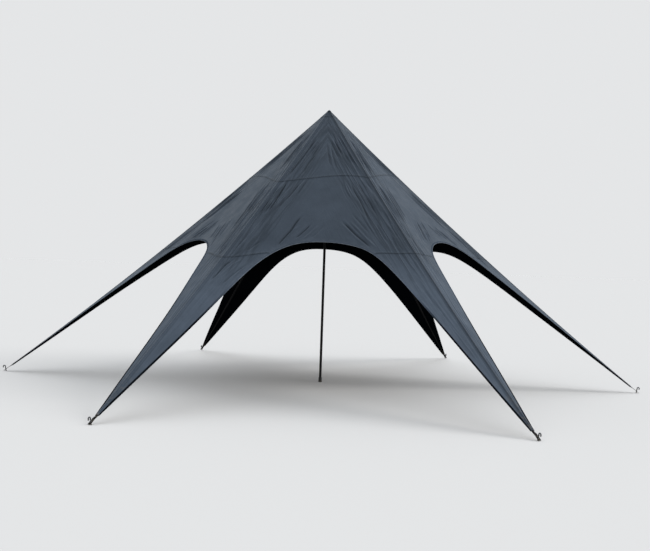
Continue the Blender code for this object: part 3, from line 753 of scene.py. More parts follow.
def new_mesh(name, points, faces, materials, slots=None, sharp=50.0):
    """A smooth mesh, sharp where its faces meet at more than so many degrees."""
    mesh = bpy.data.meshes.new(name)
    mesh.from_pydata(points.tolist(), [], faces)
    for material in materials:
        mesh.materials.append(material)
    if slots is not None:
        mesh.polygons.foreach_set("material_index", np.asarray(slots, np.int32))
    mesh.shade_smooth()
    mesh.set_sharp_from_angle(angle=math.radians(sharp))
    return mesh


def cell_corners(number):
    """The four corners of each cell of a grid of numbers, anticlockwise as seen from outside."""
    return np.stack((number[:-1, :-1], number[1:, :-1], number[1:, 1:], number[:-1, 1:]), axis=2)


def closed_sheet(name, outer, inner, cells, materials):
    """A thin closed mesh on the cells that are set, and the grid's numbers of its vertices.

    Its inner side uses every second line of the grid, and five-sided faces close its rim.
    """
    number = np.arange(len(outer)).reshape(cells.shape[0] + 1, -1)
    front = cell_corners(number)[cells]
    back = cell_corners(number[::2, ::2])[cells[::2, ::2]]
    outer_used, inner_used = np.unique(front), np.unique(back)
    ways = np.concatenate([np.stack((back[:, k], back[:, (k + 1) % 4]), axis=1) for k in range(4)])
    key = ways[:, 0] * number.size + ways[:, 1]
    opposite = ways[:, 1] * number.size + ways[:, 0]
    start, end = ways[~np.isin(key, opposite)].T
    outer_rim = np.searchsorted(outer_used, np.stack((end, (start + end) // 2, start), axis=1))
    inner_rim = np.searchsorted(inner_used, np.stack((start, end), axis=1)) + len(outer_used)
    inner_faces = np.searchsorted(inner_used, back)[:, ::-1] + len(outer_used)
    faces = [*np.searchsorted(outer_used, front).tolist(), *inner_faces.tolist()]
    faces += np.hstack((outer_rim, inner_rim)).tolist()
    slots = np.repeat((0, 1, 0), (len(front), len(back), len(start)))
    points = np.concatenate((outer[outer_used], inner[inner_used]))
    return new_mesh(name, points, faces, materials, slots), np.concatenate((outer_used, inner_used))


def add_number(mesh, name, values):
    attribute = mesh.attributes.new(name, "FLOAT", "POINT")
    attribute.data.foreach_set("value", np.asarray(values, np.float32))


def add_cloth_map(mesh, places):
    """A UV map in metres of cloth."""
    layer = mesh.uv_layers.new(name="cloth")
    corner_vertices = np.zeros(len(mesh.loops), np.int32)
    mesh.loops.foreach_get("vertex_index", corner_vertices)
    layer.data.foreach_set("uv", np.asarray(places, np.float32)[corner_vertices].ravel())


def add_strip_map(mesh, across, along):
    """The cloth map of a swept mesh, by its section's places across and its rings' places along."""
    add_cloth_map(mesh, np.stack((np.tile(across, len(along)), np.repeat(along, len(across))), axis=1))


def new_piece(name, mesh, slot, *nodes):
    """A piece that rides with the tent and stands for CAD nodes, which it hides. Its slot is not used."""
    piece = bpy.data.objects.new(name, mesh)
    bpy.context.scene.collection.objects.link(piece)
    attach(piece, "root")
    if nodes:
        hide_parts(*nodes)
    return piece


def lowest_near(values):
    """Each value of a grid, or a neighbour's where that is lower."""
    rows, columns = values.shape
    wide = np.pad(values, 1, mode="edge")
    shifts = [wide[down:down + rows, right:right + columns] for down in range(3) for right in range(3)]
    return np.min(shifts, axis=0)


def build_panel(name, node, panel, net, creases, seed, azimuth, materials):
    lift = FABRIC_LIFT + panel.relief(net, creases, seed) + panel.lap_lift
    low = lowest_near(lift.reshape(panel.shape)).ravel() - FABRIC
    outer, inner = (
        turn_about_pole(panel.points + rise[:, None] * panel.normals, azimuth) for rise in (lift, low))
    mesh, used = closed_sheet(name, outer, inner, panel.cells, materials)
    for attribute in ("ridge", "seam", "edge", "dip"):
        add_number(mesh, attribute, getattr(panel, attribute)[used])
    add_cloth_map(mesh, panel.cloth[used])
    return new_piece(name, mesh, "canopy_fabric", node)


def build_canopy(regular_net, fabrics, hems):
    """The panels and arch hems of all six bays. A panel laps over the one below it."""
    right_root = COLUMNS - ARM_COLUMNS
    crown = (
        grid_lines((0, CROWN_END, CROWN_END + LAP), CROWN_CELLS[0], (CROWN_END,)),
        grid_lines((0, COLUMNS), CROWN_CELLS[1], (0, COLUMNS)), CROWN_END)
    roof = (
        grid_lines((CROWN_END, ROOF_END, ROOF_END + LAP), ROOF_CELLS[0], (CROWN_END, ROOF_END)),
        grid_lines((0, ARM_COLUMNS, right_root, COLUMNS), ROOF_CELLS[1], (0, COLUMNS)),
        ROOF_END, (ARM_COLUMNS, right_root))
    arm_rows = grid_lines((ROOF_END, ARM_END), ARM_CELLS[0], (ROOF_END,))
    left_arm = (arm_rows, grid_lines((0, ARM_COLUMNS), ARM_CELLS[1], (0,)))
    right_arm = (arm_rows, grid_lines((right_root, COLUMNS), ARM_CELLS[1], (COLUMNS,)))
    arm_at = {azimuth: name for name, azimuth in ARMS}
    for seed, (bay, azimuth) in enumerate(BAYS):
        left, right = arm_at[(azimuth - 30) % 360], arm_at[(azimuth + 30) % 360]
        shifts = [
            (shift.get(left, 0.0), shift.get(right, 0.0)) for shift in (CROWN_SEAM_SHIFT, ARM_SEAM_SHIFT)]
        net = eased_net(regular_net, bay)
        normals = net_normals(net)
        creases = bay_creases(bay, seed)
        hem = build_hem(f"{bay}_arch_hem", net, normals, azimuth, hems)
        for name, node, grid, arms in (
                (f"{bay}_crown_fabric", f"crown_panel_{bay}", crown, (left, right)),
                (f"{bay}_roof_fabric", f"roof_panel_{bay}", roof, (left, right)),
                (f"{left}_arm_fabric_{bay}_side", f"{left}_arm_panel_{bay}_side", left_arm, (left,)),
                (f"{right}_arm_fabric_{bay}_side", f"{right}_arm_panel_{bay}_side", right_arm, (right,))):
            panel = Panel(net, normals, shifts, *grid)
            piece = build_panel(name, node, panel, net, creases, seed, azimuth, fabrics)


def build_hem(name, net, normals, azimuth, materials):
    """The folded hem round one arch, from tip to tip, as a strip bent round the fabric's edge."""
    line, up = arch_line(net), unit(arch_line(normals))
    inward = unit(np.cross(up, unit(np.gradient(line, axis=0))))
    half = FABRIC / 2.0 + HEM_LIFT
    width = np.full(len(line), HEM_WIDTH)
    taper = np.linalg.norm(net[ROOF_LINE:, ARM_LINE] - net[ROOF_LINE:, 0], axis=1) * HEM_SHARE
    width[:len(taper)] = np.minimum(width[:len(taper)], taper[::-1])
    width[-len(taper):] = np.minimum(width[-len(taper):], taper)
    flat = ((1.0, half - HEM_EDGE), (HEM_EDGE_FROM, half), (0.5, half))
    turns = np.linspace(0.0, math.pi, HEM_ROLL_POINTS)
    bend = [(-HEM_ROLL * math.sin(turn), half * math.cos(turn)) for turn in turns]
    section = [*flat, *bend, *((inset, -height) for inset, height in reversed(flat))]
    rings = [
        line + inward * (width * inset)[:, None] + up * (FABRIC_LIFT - FABRIC / 2.0 + height)
        for inset, height in section]
    rings = turn_about_pole(np.stack(rings, axis=1).reshape(-1, 3), azimuth)
    under = np.tile([height < 0.0 for _, height in section], len(line) - 1)
    mesh = swept_mesh(name, rings, len(line), materials, np.concatenate((under, (0, 0))))
    around = [(1.0 - inset) * math.copysign(HEM_WIDTH, height) for inset, height in section]
    add_strip_map(mesh, around, travelled(line))
    return new_piece(name, mesh, "canopy_fabric")


def faces_between(first, second):
    """Faces between two rings of vertex numbers, or between two stacks of them."""
    ends = (first, second, np.roll(second, -1, axis=-1), np.roll(first, -1, axis=-1))
    return np.stack(ends, axis=-1).reshape(-1, 4)


def swept_mesh(name, rings, count, materials, slots=None):
    """A closed skin over so many rings of points, with both of its ends filled."""
    number = np.arange(len(rings)).reshape(count, -1)
    faces = faces_between(number[:-1], number[1:]).tolist()
    faces += [number[0].tolist(), number[-1][::-1].tolist()]
    return new_mesh(name, rings, faces, materials, slots)


# Ridge webbing with its anchor strap

def build_webbing(name, node, net, azimuth, material):
    """The webbing under a ridge, sewn into the fabric's fold, and its flat strap out to the peg."""
    ridge = turn_about_pole(net[:, 0], 30.0)
    flap = unit(turn_about_pole(net[:, 1], 30.0) - ridge)
    kept = -ridge[:, 1] >= WEB_START_RADIUS
    centres, halves = ridge[kept][::2], flap[kept][::2]
    if kept.sum() % 2 == 0:
        centres, halves = np.vstack((centres, ridge[-1:])), np.vstack((halves, flap[-1:]))
    tip_half = halves[-1]
    for radius in STRAP_ROWS:
        fold = 1.0 - smooth_step(radius, TIP_RADIUS, STRAP_FLAT_FROM)
        centres = np.vstack((centres, (0.0, -radius, ridge_height(radius))))
        halves = np.vstack((halves, unit(tip_half * fold + np.array((1.0, 0.0, 0.0)) * (1.0 - fold))))
    up_right = np.cross(halves, unit(np.gradient(centres, axis=0)))
    up_right = unit(up_right * np.sign(up_right[:, 2:]))
    up_middle = up_right * (0.0, 2.0, 2.0)
    up_middle /= (up_middle * up_right).sum(axis=1, keepdims=True)
    upper, lower = [], []
    for share in WEB_SHARES:
        side = (math.copysign(1.0, share), 1.0, 1.0)
        up = up_right * side if share else up_middle
        place = centres + halves * side * abs(share) * WEB_HALF_WIDTH
        thinner = WEB_EDGE if abs(share) == 1.0 else 0.0
        upper.append(place - up * (WEB_DROP + thinner))
        lower.append(place - up * (WEB_DROP + WEB_THICKNESS - thinner))
    rings = turn_about_pole(np.stack(upper + lower[::-1], axis=1).reshape(-1, 3), azimuth)
    mesh = swept_mesh(name, rings, len(centres), (material,))
    add_strip_map(mesh, np.array(WEB_SHARES + WEB_SHARES[::-1]) * WEB_HALF_WIDTH, travelled(centres))
    return new_piece(name, mesh, "webbing", node)


def strap_end(name, azimuth, material):
    """The strap's flat end with its stitched eye, which the peg goes through."""
    centre = np.array((0.0, -PEG_RADIUS - STRAP_HEIGHT * math.sin(PEG_LEAN)))
    ways = circle(EYE_SIDES)
    core = WEB_HALF_WIDTH - STRAP_CORNER
    low, high = (-core, -STRAP_END + STRAP_CORNER), (core, -STRAP_ROWS[-1] - STRAP_CORNER)
    reaches = np.full(STRAP_PROBES, STRAP_PROBE).cumsum()
    places = centre + ways[:, None] * reaches[:, None]
    inside = np.linalg.norm(places - np.clip(places, low, high), axis=2) <= STRAP_CORNER
    outline = centre + ways * reaches[inside.sum(axis=1) - 1][:, None]
    rings = [(centre + ways * (EYE_RADIUS + out), lift) for out, lift in EYE_RINGS]
    rings += [(centre + (outline - centre) * WEB_SHARES[-2], 0.0), (outline, -WEB_EDGE)]
    section = [(places, -WEB_DROP + lift) for places, lift in rings]
    section += [(places, -WEB_DROP - WEB_THICKNESS - lift) for places, lift in reversed(rings)]
    skins = [np.column_stack((places, ridge_height(-places[:, 1]) + lift)) for places, lift in section]
    number = np.arange(len(section) * len(ways)).reshape(len(section), -1)
    faces = faces_between(number, np.roll(number, -1, axis=0))[:, [0, 3, 2, 1]].tolist()
    mesh = new_mesh(name, turn_about_pole(np.concatenate(skins), azimuth), faces, (material,), sharp=60.0)
    add_cloth_map(mesh, np.concatenate([places for places, _ in section]))
    return new_piece(name, mesh, "webbing")


# Pegs, pole and cap

def circle(sides):
    angles = np.linspace(0.0, math.tau, sides, endpoint=False)
    return np.stack((np.cos(angles), np.sin(angles)), axis=1)


def build_peg(name, node, azimuth, material):
    """A round bar peg, its hook open away from the tent, with a rounded end."""
    shank = np.array((0.0, -math.sin(PEG_LEAN), math.cos(PEG_LEAN)))
    away = np.array((0.0, -math.cos(PEG_LEAN), -math.sin(PEG_LEAN)))
    foot = np.array((0.0, -PEG_RADIUS, 0.0))
    centre = foot + shank * PEG_STRAIGHT + away * PEG_HOOK_RADIUS
    places = [foot + shank * stop for stop in PEG_SHANK_STOPS]
    for angle in np.linspace(0.0, math.pi, PEG_BEND_RINGS):
        places.append(centre + PEG_HOOK_RADIUS * (shank * math.sin(angle) - away * math.cos(angle)))
    end = places[-1] - shank * (PEG_HOOK_END - PEG_END_ROUND)
    places.append(end)
    radii = [PEG_ROD_RADIUS] * len(places)
    for share in PEG_END_SHARES:
        places.append(end - shank * PEG_END_ROUND * share)
        radii.append(PEG_ROD_RADIUS * math.sqrt(1.0 - share ** 2))
    rings = []
    side = np.array((1.0, 0.0, 0.0))
    for place, way, radius in zip(places, unit(np.gradient(np.array(places), axis=0)), radii):
        rings.append(place + radius * circle(PEG_SIDES) @ np.array((side, np.cross(side, way))))
    rings[0] = rings[0] - shank * (rings[0][:, 2:] / shank[2])
    mesh = swept_mesh(name, turn_about_pole(np.concatenate(rings), azimuth), len(places), (material,))
    return new_piece(name, mesh, "peg_steel", node)


def turned_piece(name, node, profile, slot, material):
    """A profile of (radius, height) points from top to bottom, turned about the pole's axis."""
    rings = [
        np.column_stack((radius * circle(POLE_SIDES), np.full(POLE_SIDES, height)))
        for radius, height in reversed(profile)]
    mesh = swept_mesh(name, np.concatenate(rings), len(profile), (material,))
    return new_piece(name, mesh, slot, node)


def rounded(corner, before, after, radius):
    """A corner of a profile, rounded off between the points before and after it."""
    corner = np.array(corner)
    start, end = (corner + unit(np.array(point) - corner) * radius for point in (before, after))
    shares = np.linspace(0.0, 1.0, 5)[:, None]
    return ((1 - shares) ** 2 * start + 2 * shares * (1 - shares) * corner + shares ** 2 * end).tolist()


def build_pole(steel, rubber):
    lower_joint, upper_joint = POLE_JOINTS
    for name, bottom, top in (
            ("lower", FOOT_SOLE, lower_joint), ("middle", lower_joint, upper_joint),
            ("upper", upper_joint, POLE_TOP)):
        rim, base = top - TUBE_GAP_ABOVE, bottom + TUBE_GAP_BELOW
        profile = [(POLE_RADIUS - TUBE_WALL, rim)]
        profile += rounded((POLE_RADIUS, rim), (0.0, rim), (POLE_RADIUS, bottom), TUBE_LIP)
        if name != "upper":
            for drop in np.linspace(-SWAGE_REACH, SWAGE_REACH, SWAGE_RINGS):
                dent = SWAGE_DEPTH * math.exp(-(drop / SWAGE_WIDTH) ** 2)
                profile.append((POLE_RADIUS - dent, top - SWAGE_AT - drop))
        heights = np.linspace(profile[-1][1], bottom + TUBE_LAST_RING, TUBE_RINGS)[1:]
        profile += [(POLE_RADIUS, height) for height in heights]
        profile += rounded((POLE_RADIUS, base), (POLE_RADIUS, top), (0.0, base), TUBE_LIP)
        profile.append((POLE_RADIUS - TUBE_WALL, base))
        turned_piece(f"pole_{name}_tube", f"pole_{name}_section", profile, "pole_steel", steel)
    foot = [(POLE_RADIUS + play, FOOT_HEIGHT - down) for play, down in zip(FOOT_PLAY, (FOOT_MOUTH, 0.0))]
    foot += rounded((FOOT_TOP_RADIUS, FOOT_HEIGHT), (0.0, FOOT_HEIGHT), (FOOT_BASE_RADIUS, 0.0), FOOT_ROUND)
    for rib in range(1, FOOT_RIBS + 1):
        height = FOOT_HEIGHT - FOOT_RIB_STEP * rib
        radius = FOOT_TOP_RADIUS + (FOOT_BASE_RADIUS - FOOT_TOP_RADIUS) * (1.0 - height / FOOT_HEIGHT)
        for share in np.linspace(-1.0, 1.0, FOOT_GROOVE_RINGS):
            groove = FOOT_GROOVE * math.cos(share * math.pi / 2.0) ** 2
            foot.append((radius - groove, height - FOOT_GROOVE_HALF * share))
    foot += rounded((FOOT_BASE_RADIUS, 0.0), (FOOT_TOP_RADIUS, FOOT_HEIGHT), (0.0, 0.0), FOOT_SOLE_ROUND)
    foot.append((FOOT_SOLE_MIDDLE, 0.0))
    turned_piece("pole_rubber_foot", "pole_foot", foot, "rubber", rubber)
    dome, base = cap_tip_centre() + CAP_TIP_RADIUS - PLUG_CLEAR - POLE_RADIUS, POLE_TOP + TUBE_GAP_BELOW
    plug = [(POLE_RADIUS * math.sin(angle), dome + POLE_RADIUS * math.cos(angle))
            for angle in np.linspace(PLUG_DOME_FROM, math.pi / 2.0, PLUG_DOME_RINGS)]
    plug += rounded((POLE_RADIUS, base), (POLE_RADIUS, dome), (0.0, base), PLUG_ROUND)
    plug.append((POLE_RADIUS - TUBE_WALL, base))
    turned_piece("pole_top_plug", "pole_cap", plug, "rubber", rubber)


def peak_slope():
    """Fall of a ridge for each metre out, at the peak."""
    return (PEAK_HEIGHT - STRAP_HEIGHT + 4.0 * RIDGE_SAG) / PEG_RADIUS


def face_rise():
    """Upright distance through a bay's face at the peak for each metre square to it."""
    return math.hypot(1.0, peak_slope() / math.cos(HALF_BAY))


def cap_tip_centre():
    """Centre of the cap's rounded tip, as in the solids."""
    return PEAK_HEIGHT + CAP_SOLID_LIFT * face_rise() - CAP_TIP_RADIUS * math.hypot(1.0, peak_slope())


def dome_mesh(name, outer, inner, count, materials):
    """A closed shell between two stacks of so many rings, the first ring of each filled as its top."""
    number = np.arange(len(outer)).reshape(count, -1)
    outside = faces_between(number[:-1], number[1:])
    skirt = faces_between(number[-1], number[-1] + len(outer))
    faces = np.concatenate((outside, outside[:, ::-1] + len(outer), skirt)).tolist()
    faces += [number[0].tolist(), (number[0][::-1] + len(outer)).tolist()]
    slots = np.repeat((0, 1, 0, 1), (len(outside), len(outside), len(skirt) + 1, 1))
    return new_mesh(name, np.concatenate((outer, inner)), faces, materials, slots)


def build_cap(name, materials):
    """The fabric cap over the peak: six faces that run smoothly into a tip rounded by the pole under it."""
    turns = np.linspace(0.0, math.tau, 12 * CAP_SPOKES, endpoint=False)
    shares = np.linspace(0.0, 1.0, CAP_RINGS + 1)
    shares[0] = CAP_TOP_SHARE
    share, turn = (values.ravel() for values in np.meshgrid(shares, turns, indexing="ij"))
    from_face = (turn + HALF_BAY) % (2.0 * HALF_BAY) - HALF_BAY
    radius = share * CAP_SKIRT_RADIUS * math.cos(HALF_BAY) / np.cos(from_face)
    face = radius * np.cos(from_face) / math.cos(HALF_BAY)
    to_ridge = radius * np.sin(HALF_BAY - np.abs(from_face))
    band_edge = (BAND_HALF_WIDTH - BAND_EDGE, BAND_HALF_WIDTH + CAP_BAND_SPREAD)
    band = BAND_LIFT * (1.0 - smooth_step(to_ridge, *band_edge))
    skirt_hem = CAP_HEM_LIFT * smooth_step(share, *CAP_HEM_FROM)
    faces = ridge_height(face) + (FABRIC_LIFT + CAP_LIFT + band + skirt_hem) * face_rise()
    tip_radius = CAP_TIP_RADIUS + CAP_THICKNESS
    ball = cap_tip_centre() + np.sqrt(np.maximum(tip_radius ** 2 - radius ** 2, 0.0))
    ball[radius >= tip_radius] = 0.0
    height = CAP_BLEND * np.logaddexp(faces / CAP_BLEND, ball / CAP_BLEND)
    outer = np.column_stack((radius * np.sin(turn), -radius * np.cos(turn), height))
    inner = outer - np.array((0.0, 0.0, CAP_CLOTH)) * face_rise()
    mesh = dome_mesh(name, outer, inner, len(shares), materials)
    add_number(mesh, "ridge", np.tile(np.maximum(to_ridge, CAP_RIDGE_LEAST), 2))
    add_number(mesh, "seam", np.tile((1.0 - share) * CAP_SKIRT_RADIUS, 2))
    add_number(mesh, "edge", np.full(2 * len(share), 1.0))
    places = np.column_stack((turn * CAP_SKIRT_RADIUS, share * CAP_SKIRT_RADIUS * face_rise()))
    add_cloth_map(mesh, np.tile(places, (2, 1)))
    piece = new_piece(name, mesh, "cap_fabric", "peak_cap")


# Materials

def put(socket, value):
    """A wire, a colour or a number into a node's input."""
    if isinstance(value, Wire):
        socket.id_data.links.new(value.socket, socket)
    elif socket.type == "RGBA":
        socket.default_value = (*value, 1.0)
    else:
        socket.default_value = value


def add_node(tree, kind, inputs, output=0, **settings):
    """The output of a new node, given its settings and its inputs by name or number."""
    node = tree.nodes.new("ShaderNode" + kind)
    for setting, value in settings.items():
        setattr(node, setting, value)
    for place, value in inputs.items():
        put(node.inputs[place], value)
    return Wire(tree, node.outputs[output])


def math_step(operation):
    """A call on a wire that adds a Math node."""
    return lambda wire, other=0.0: add_node(wire.tree, "Math", {0: wire, 1: other}, operation=operation)


class Wire:
    """A node's output. Arithmetic on it adds Math nodes, and its other calls add the nodes they name."""

    def __init__(self, tree, socket):
        self.tree, self.socket = tree, socket

    __add__ = math_step("ADD")
    __sub__ = math_step("SUBTRACT")
    __mul__ = math_step("MULTIPLY")
    __truediv__ = math_step("DIVIDE")
    __abs__ = math_step("ABSOLUTE")
    sine = math_step("SINE")
    root = math_step("SQRT")
    part_over = math_step("FRACT")
    larger = math_step("MAXIMUM")

    def __rsub__(self, other):
        return self * -1.0 + other

    def parts(self):
        node = self.tree.nodes.new("ShaderNodeSeparateXYZ")
        put(node.inputs[0], self)
        return [Wire(self.tree, socket) for socket in node.outputs]

    def scaled(self, *scale):
        return add_node(self.tree, "Mapping", {"Vector": self, "Scale": scale})

    def noise(self, scale, detail=3.0, roughness=0.55):
        inputs = {"Vector": self, "Scale": scale, "Detail": detail, "Roughness": roughness}
        return add_node(self.tree, "TexNoise", inputs, "Fac")

    def ramp(self, low, high, start=0.0, end=1.0):
        """Value mapped smoothly from low..high to start..end."""
        inputs = dict(enumerate((self, low, high, start, end)))
        return add_node(self.tree, "MapRange", inputs, interpolation_type="SMOOTHSTEP")

    def fall(self, low, high):
        """1 up to low, 0 from high on."""
        return self.ramp(low, high, 1.0, 0.0)

    def mix(self, first, second):
        """First colour where the wire is 0, second where it is 1."""
        return add_node(self.tree, "Mix", {"Factor": self, 6: first, 7: second}, 2, data_type="RGBA")

    def times_colour(self, colour):
        return add_node(self.tree, "VectorMath", {0: colour, "Scale": self}, operation="SCALE")


class Recipe:
    """A Principled material, with the wires that its nodes start from."""

    def __init__(self, name, metallic=0.0, specular=0.5, sheen=0.0, tint=(1.0, 1.0, 1.0)):
        self.material = bpy.data.materials.new(name)
        self.material.use_nodes = True
        self.tree = self.material.node_tree
        self.inputs = self.tree.nodes["Principled BSDF"].inputs
        for socket, value in (
                ("Metallic", metallic), ("Specular IOR Level", specular), ("Specular Tint", tint),
                ("Sheen Weight", sheen), ("Sheen Tint", tint)):
            put(self.inputs[socket], value)
        self.place = add_node(self.tree, "TexCoord", {}, "Object")
        self.x, self.y, self.height = self.place.parts()

    def attribute(self, name):
        return add_node(self.tree, "Attribute", {}, "Fac", attribute_name=name)

    def cloth(self):
        return add_node(self.tree, "UVMap", {}, "UV", uv_map="cloth")

    def from_pole(self):
        """Distance from the pole's axis."""
        return (self.x * self.x + self.y * self.y).root()

    def patches(self, scale, detail, low, high, start=0.0, end=1.0):
        """A noise of the place, ramped."""
        return self.place.noise(scale, detail).ramp(low, high, start, end)

    def finish(self, colour, roughness, *bumps):
        """The material, given its bumps as (height, distance) from the lowest one up."""
        normal = None
        for height, distance in bumps:
            inputs = {"Strength": 1.0, "Distance": distance, "Height": height}
            if normal is not None:
                inputs["Normal"] = normal
            normal = add_node(self.tree, "Bump", inputs)
            put(self.inputs["Normal"], normal)
        put(self.inputs["Base Color"], colour)
        put(self.inputs["Roughness"], roughness)
        return self.material


def weave(cloth):
    """Height of a plain weave, from 0 to 1."""
    across, down, _ = cloth.parts()
    turn = math.pi / THREAD_PITCH
    return (across * turn).sine() * (down * turn).sine() * 0.5 + 0.5


def stitches(distance, along, row_at):
    """1 on the stitches of a seam: a row of dashes at a distance from a line."""
    row = abs(distance - row_at).fall(THREAD_HALF_WIDTH * 0.6, THREAD_HALF_WIDTH)
    phase = (along / STITCH_LENGTH).part_over()
    return row * abs(phase - 0.5).fall(0.30, 0.36)


def painted_light_by_place(recipe):
    """The cloth's tone by place: painted light that makes the arms lighter, most on their front flaps, and
    darker towards the peak.
    """
    height = recipe.height
    front_flaps = (recipe.y * -1.0 / recipe.from_pole()).ramp(0.861, 0.871)
    # Painted light: lighter below 1.2 to 1.75 m up, most on the front flaps
    painted_lift = height.fall(1.20, 1.75) * (front_flaps * 0.20 + 0.36) + 1.0
    return painted_lift * (height.ramp(2.2, 2.8, 1.0, 0.97) * height.ramp(3.385, 3.42, 1.0, 0.45))


def seam_dust_and_shade(recipe, seam, ridge):
    """Painted shade and dust: a painted shadow with dust at a lap's edge, painted shade in the groove beside
    the ridge bands, a ridge line of dark thread and painted shade, hardly on the front left one, and painted
    shade beside the left and right ridges."""
    radius = recipe.from_pole()
    # painted shadow with dust at a lap's edge, and painted shade in the groove beside the ridge band
    lap = abs(seam - 0.006).ramp(0.002, 0.009, 0.60, 1.0)
    band = abs(ridge - BAND_GROOVE_AT).ramp(0.002, 0.012, 0.74, 1.0)
    front_left = ((recipe.x * -0.50 + recipe.y * -0.87) / radius).ramp(0.6, 0.95, 1.0, 0.3)
    # painted shade: the dark ridge line, and beside the left and right ridges
    crest = ridge.fall(0.010, 0.022) * front_left
    sides = ridge.fall(0.012, 0.060) * (abs(recipe.x) / radius).ramp(0.91, 0.97)
    return lap * band * (1.0 - crest * (1.0 - RIDGE_SHADE)) * (1.0 - sides * 0.35)


def pull_streaks(recipe, ridge):
    """Fine sharp lines of pull that run beside the ridges, from 0 to 1."""
    radius = recipe.from_pole()
    flow = {0: ridge * 15.0, 1: radius * 1.5, 2: (recipe.x + recipe.y * 0.6) * 0.5}
    waves = add_node(recipe.tree, "CombineXYZ", flow).noise(1.0, 2.0, 0.5)
    lines = (1.0 - abs(waves * 2.0 - 1.0)).ramp(0.72, 1.0)
    near = ridge.ramp(0.015, 0.045) * ridge.ramp(0.16, 0.45, 1.0, 0.12)
    return lines * (near * radius.ramp(1.9, 2.5, 1.0, 0.30))


def tent_fabric(name, colour, roughness, specular, sheen, dusty):
    """Coated polyester: plain weave, slubs, patches of tone and dust, painted light by place, painted shade
    at seams, in folds and along lines of pull, seams with two rows of stitches.
    """
    recipe = Recipe(name, specular=specular, sheen=sheen, tint=FABRIC_TINT)
    cloth, place, height = recipe.cloth(), recipe.place, recipe.height
    across, along, _ = cloth.parts()
    ridge, seam, edge, dip = (recipe.attribute(word) for word in ("ridge", "seam", "edge", "dip"))
    slubs = cloth.scaled(900.0, 14.0, 1.0).noise(1.0, 2.0).ramp(0.35, 0.75, 0.96, 1.05)
    streaks = place.scaled(9.0, 9.0, 1.6).noise(1.0, 5.0).ramp(0.35, 0.70, 0.95, 1.05)
    pulls = pull_streaks(recipe, ridge)
    # painted shade at seams and ridges, in the folds and along the lines of pull, and painted light by place
    tone = recipe.patches(2.2, 4.0, 0.30, 0.70, 0.93, 1.07) * slubs * streaks * seam_dust_and_shade(recipe, seam, ridge)
    tone = tone * dip.ramp(0.0, 1.0, 1.0, DIP_SHADE) * pulls.ramp(0.0, 1.0, 1.0, STREAK_SHADE) * painted_light_by_place(recipe)
    worn = edge.fall(0.0, 0.05) * recipe.patches(18.0, 5.0, 0.4, 0.7)
    splash = height.fall(0.05, 0.55) * recipe.patches(26.0, 6.0, 0.45, 0.72)
    stitch = stitches(ridge, along, RIDGE_STITCHES)
    for row_at in SEAM_STITCHES:
        stitch = stitch.larger(stitches(seam, across, row_at))
    base = (worn * (0.16 * dusty)).mix(tone.times_colour(colour), PALE_DUST)
    base = (splash * (0.30 * dusty)).mix(base, DRIED_EARTH)
    base = (stitch * 0.7).mix(base, tuple(0.45 * part for part in colour))
    rough = recipe.patches(7.0, 5.0, 0.3, 0.7, roughness - 0.06, roughness + 0.08)
    beside_seam = seam.fall(0.0, 0.035).larger(ridge.fall(0.0, 0.055)).larger(edge.fall(0.0, 0.06))
    puckers = cloth.scaled(60.0, 60.0, 1.0).noise(1.0, 3.0) * beside_seam
    rumples = place.scaled(26.0, 26.0, 9.0).noise(1.0, 4.0)
    return recipe.finish(
        base, rough, (weave(cloth), WEAVE_HEIGHT), (puckers, 0.0035), (rumples, 0.0010), (pulls, 0.0042),
        (stitch, STITCH_HEIGHT))


def hem_fabric(name, colour, roughness):
    """The same cloth, folded double: paler on its fold, wear with a painted highlight round the arch tops, a
    dark rim of painted shade down the arms, painted light by place, with a row of stitches along it.
    """
    recipe = Recipe(name, specular=0.0, tint=FABRIC_TINT)
    cloth, height = recipe.cloth(), recipe.height
    around, along, _ = cloth.parts()
    from_fold = abs(abs(around) - HEM_WIDTH)
    fold = from_fold.fall(0.0, 0.006) * recipe.patches(30.0, 6.0, 0.35, 0.65, 0.3, 1.0)
    rim = from_fold.fall(*HEM_RIM) * height.ramp(*HEM_RIM_HEIGHTS, 0.96, 0.0)
    stitch = stitches(abs(around), along, HEM_STITCHES)
    base = (recipe.patches(3.0, 4.0, 0.3, 0.7, 0.93, 1.08) * painted_light_by_place(recipe)).times_colour(colour)
    # pale fold: wear and a painted highlight, from 0.95 to 1.45 m up
    base = (fold * 0.52 * height.ramp(0.95, 1.45)).mix(base, PALE_FOLD_AND_HIGHLIGHT)
    # painted shade on the rim down the arms, in the black coating's colour
    base = rim.mix(base, BLACK_COATING)
    base = (stitch * 0.7).mix(base, tuple(0.4 * part for part in colour))
    puckers = cloth.scaled(30.0, 120.0, 1.0).noise(1.0, 3.0)
    return recipe.finish(
        base, roughness, (weave(cloth), WEAVE_HEIGHT), (puckers, 0.002), (stitch, STITCH_HEIGHT))


def webbing_material():
    """Black polypropylene webbing: chevron weave, ribs, paler fuzz along its selvedges."""
    recipe = Recipe("black_webbing", specular=0.06, sheen=0.008)
    across, along, _ = recipe.cloth().parts()
    ribs = ((along + abs(across)) * (math.tau / WEB_RIB_PITCH)).sine()
    threads = (across * (math.tau / WEB_THREAD_PITCH)).sine()
    fuzz = abs(across).ramp(0.015, WEB_HALF_WIDTH) * recipe.patches(60.0, 5.0, 0.35, 0.7)
    soil = recipe.height.fall(0.02, 0.25) * recipe.patches(40.0, 6.0, 0.4, 0.7)
    base = recipe.patches(9.0, 4.0, 0.3, 0.7, 0.8, 1.25).times_colour((0.0013, 0.0014, 0.0016))
    base = (fuzz * 0.25).mix(base, (0.006, 0.006, 0.0065))
    base = (soil * 0.4).mix(base, (0.10, 0.085, 0.06))
    return recipe.finish(base, 0.75, ((ribs + threads) * 0.25 + 0.5, 0.0004))


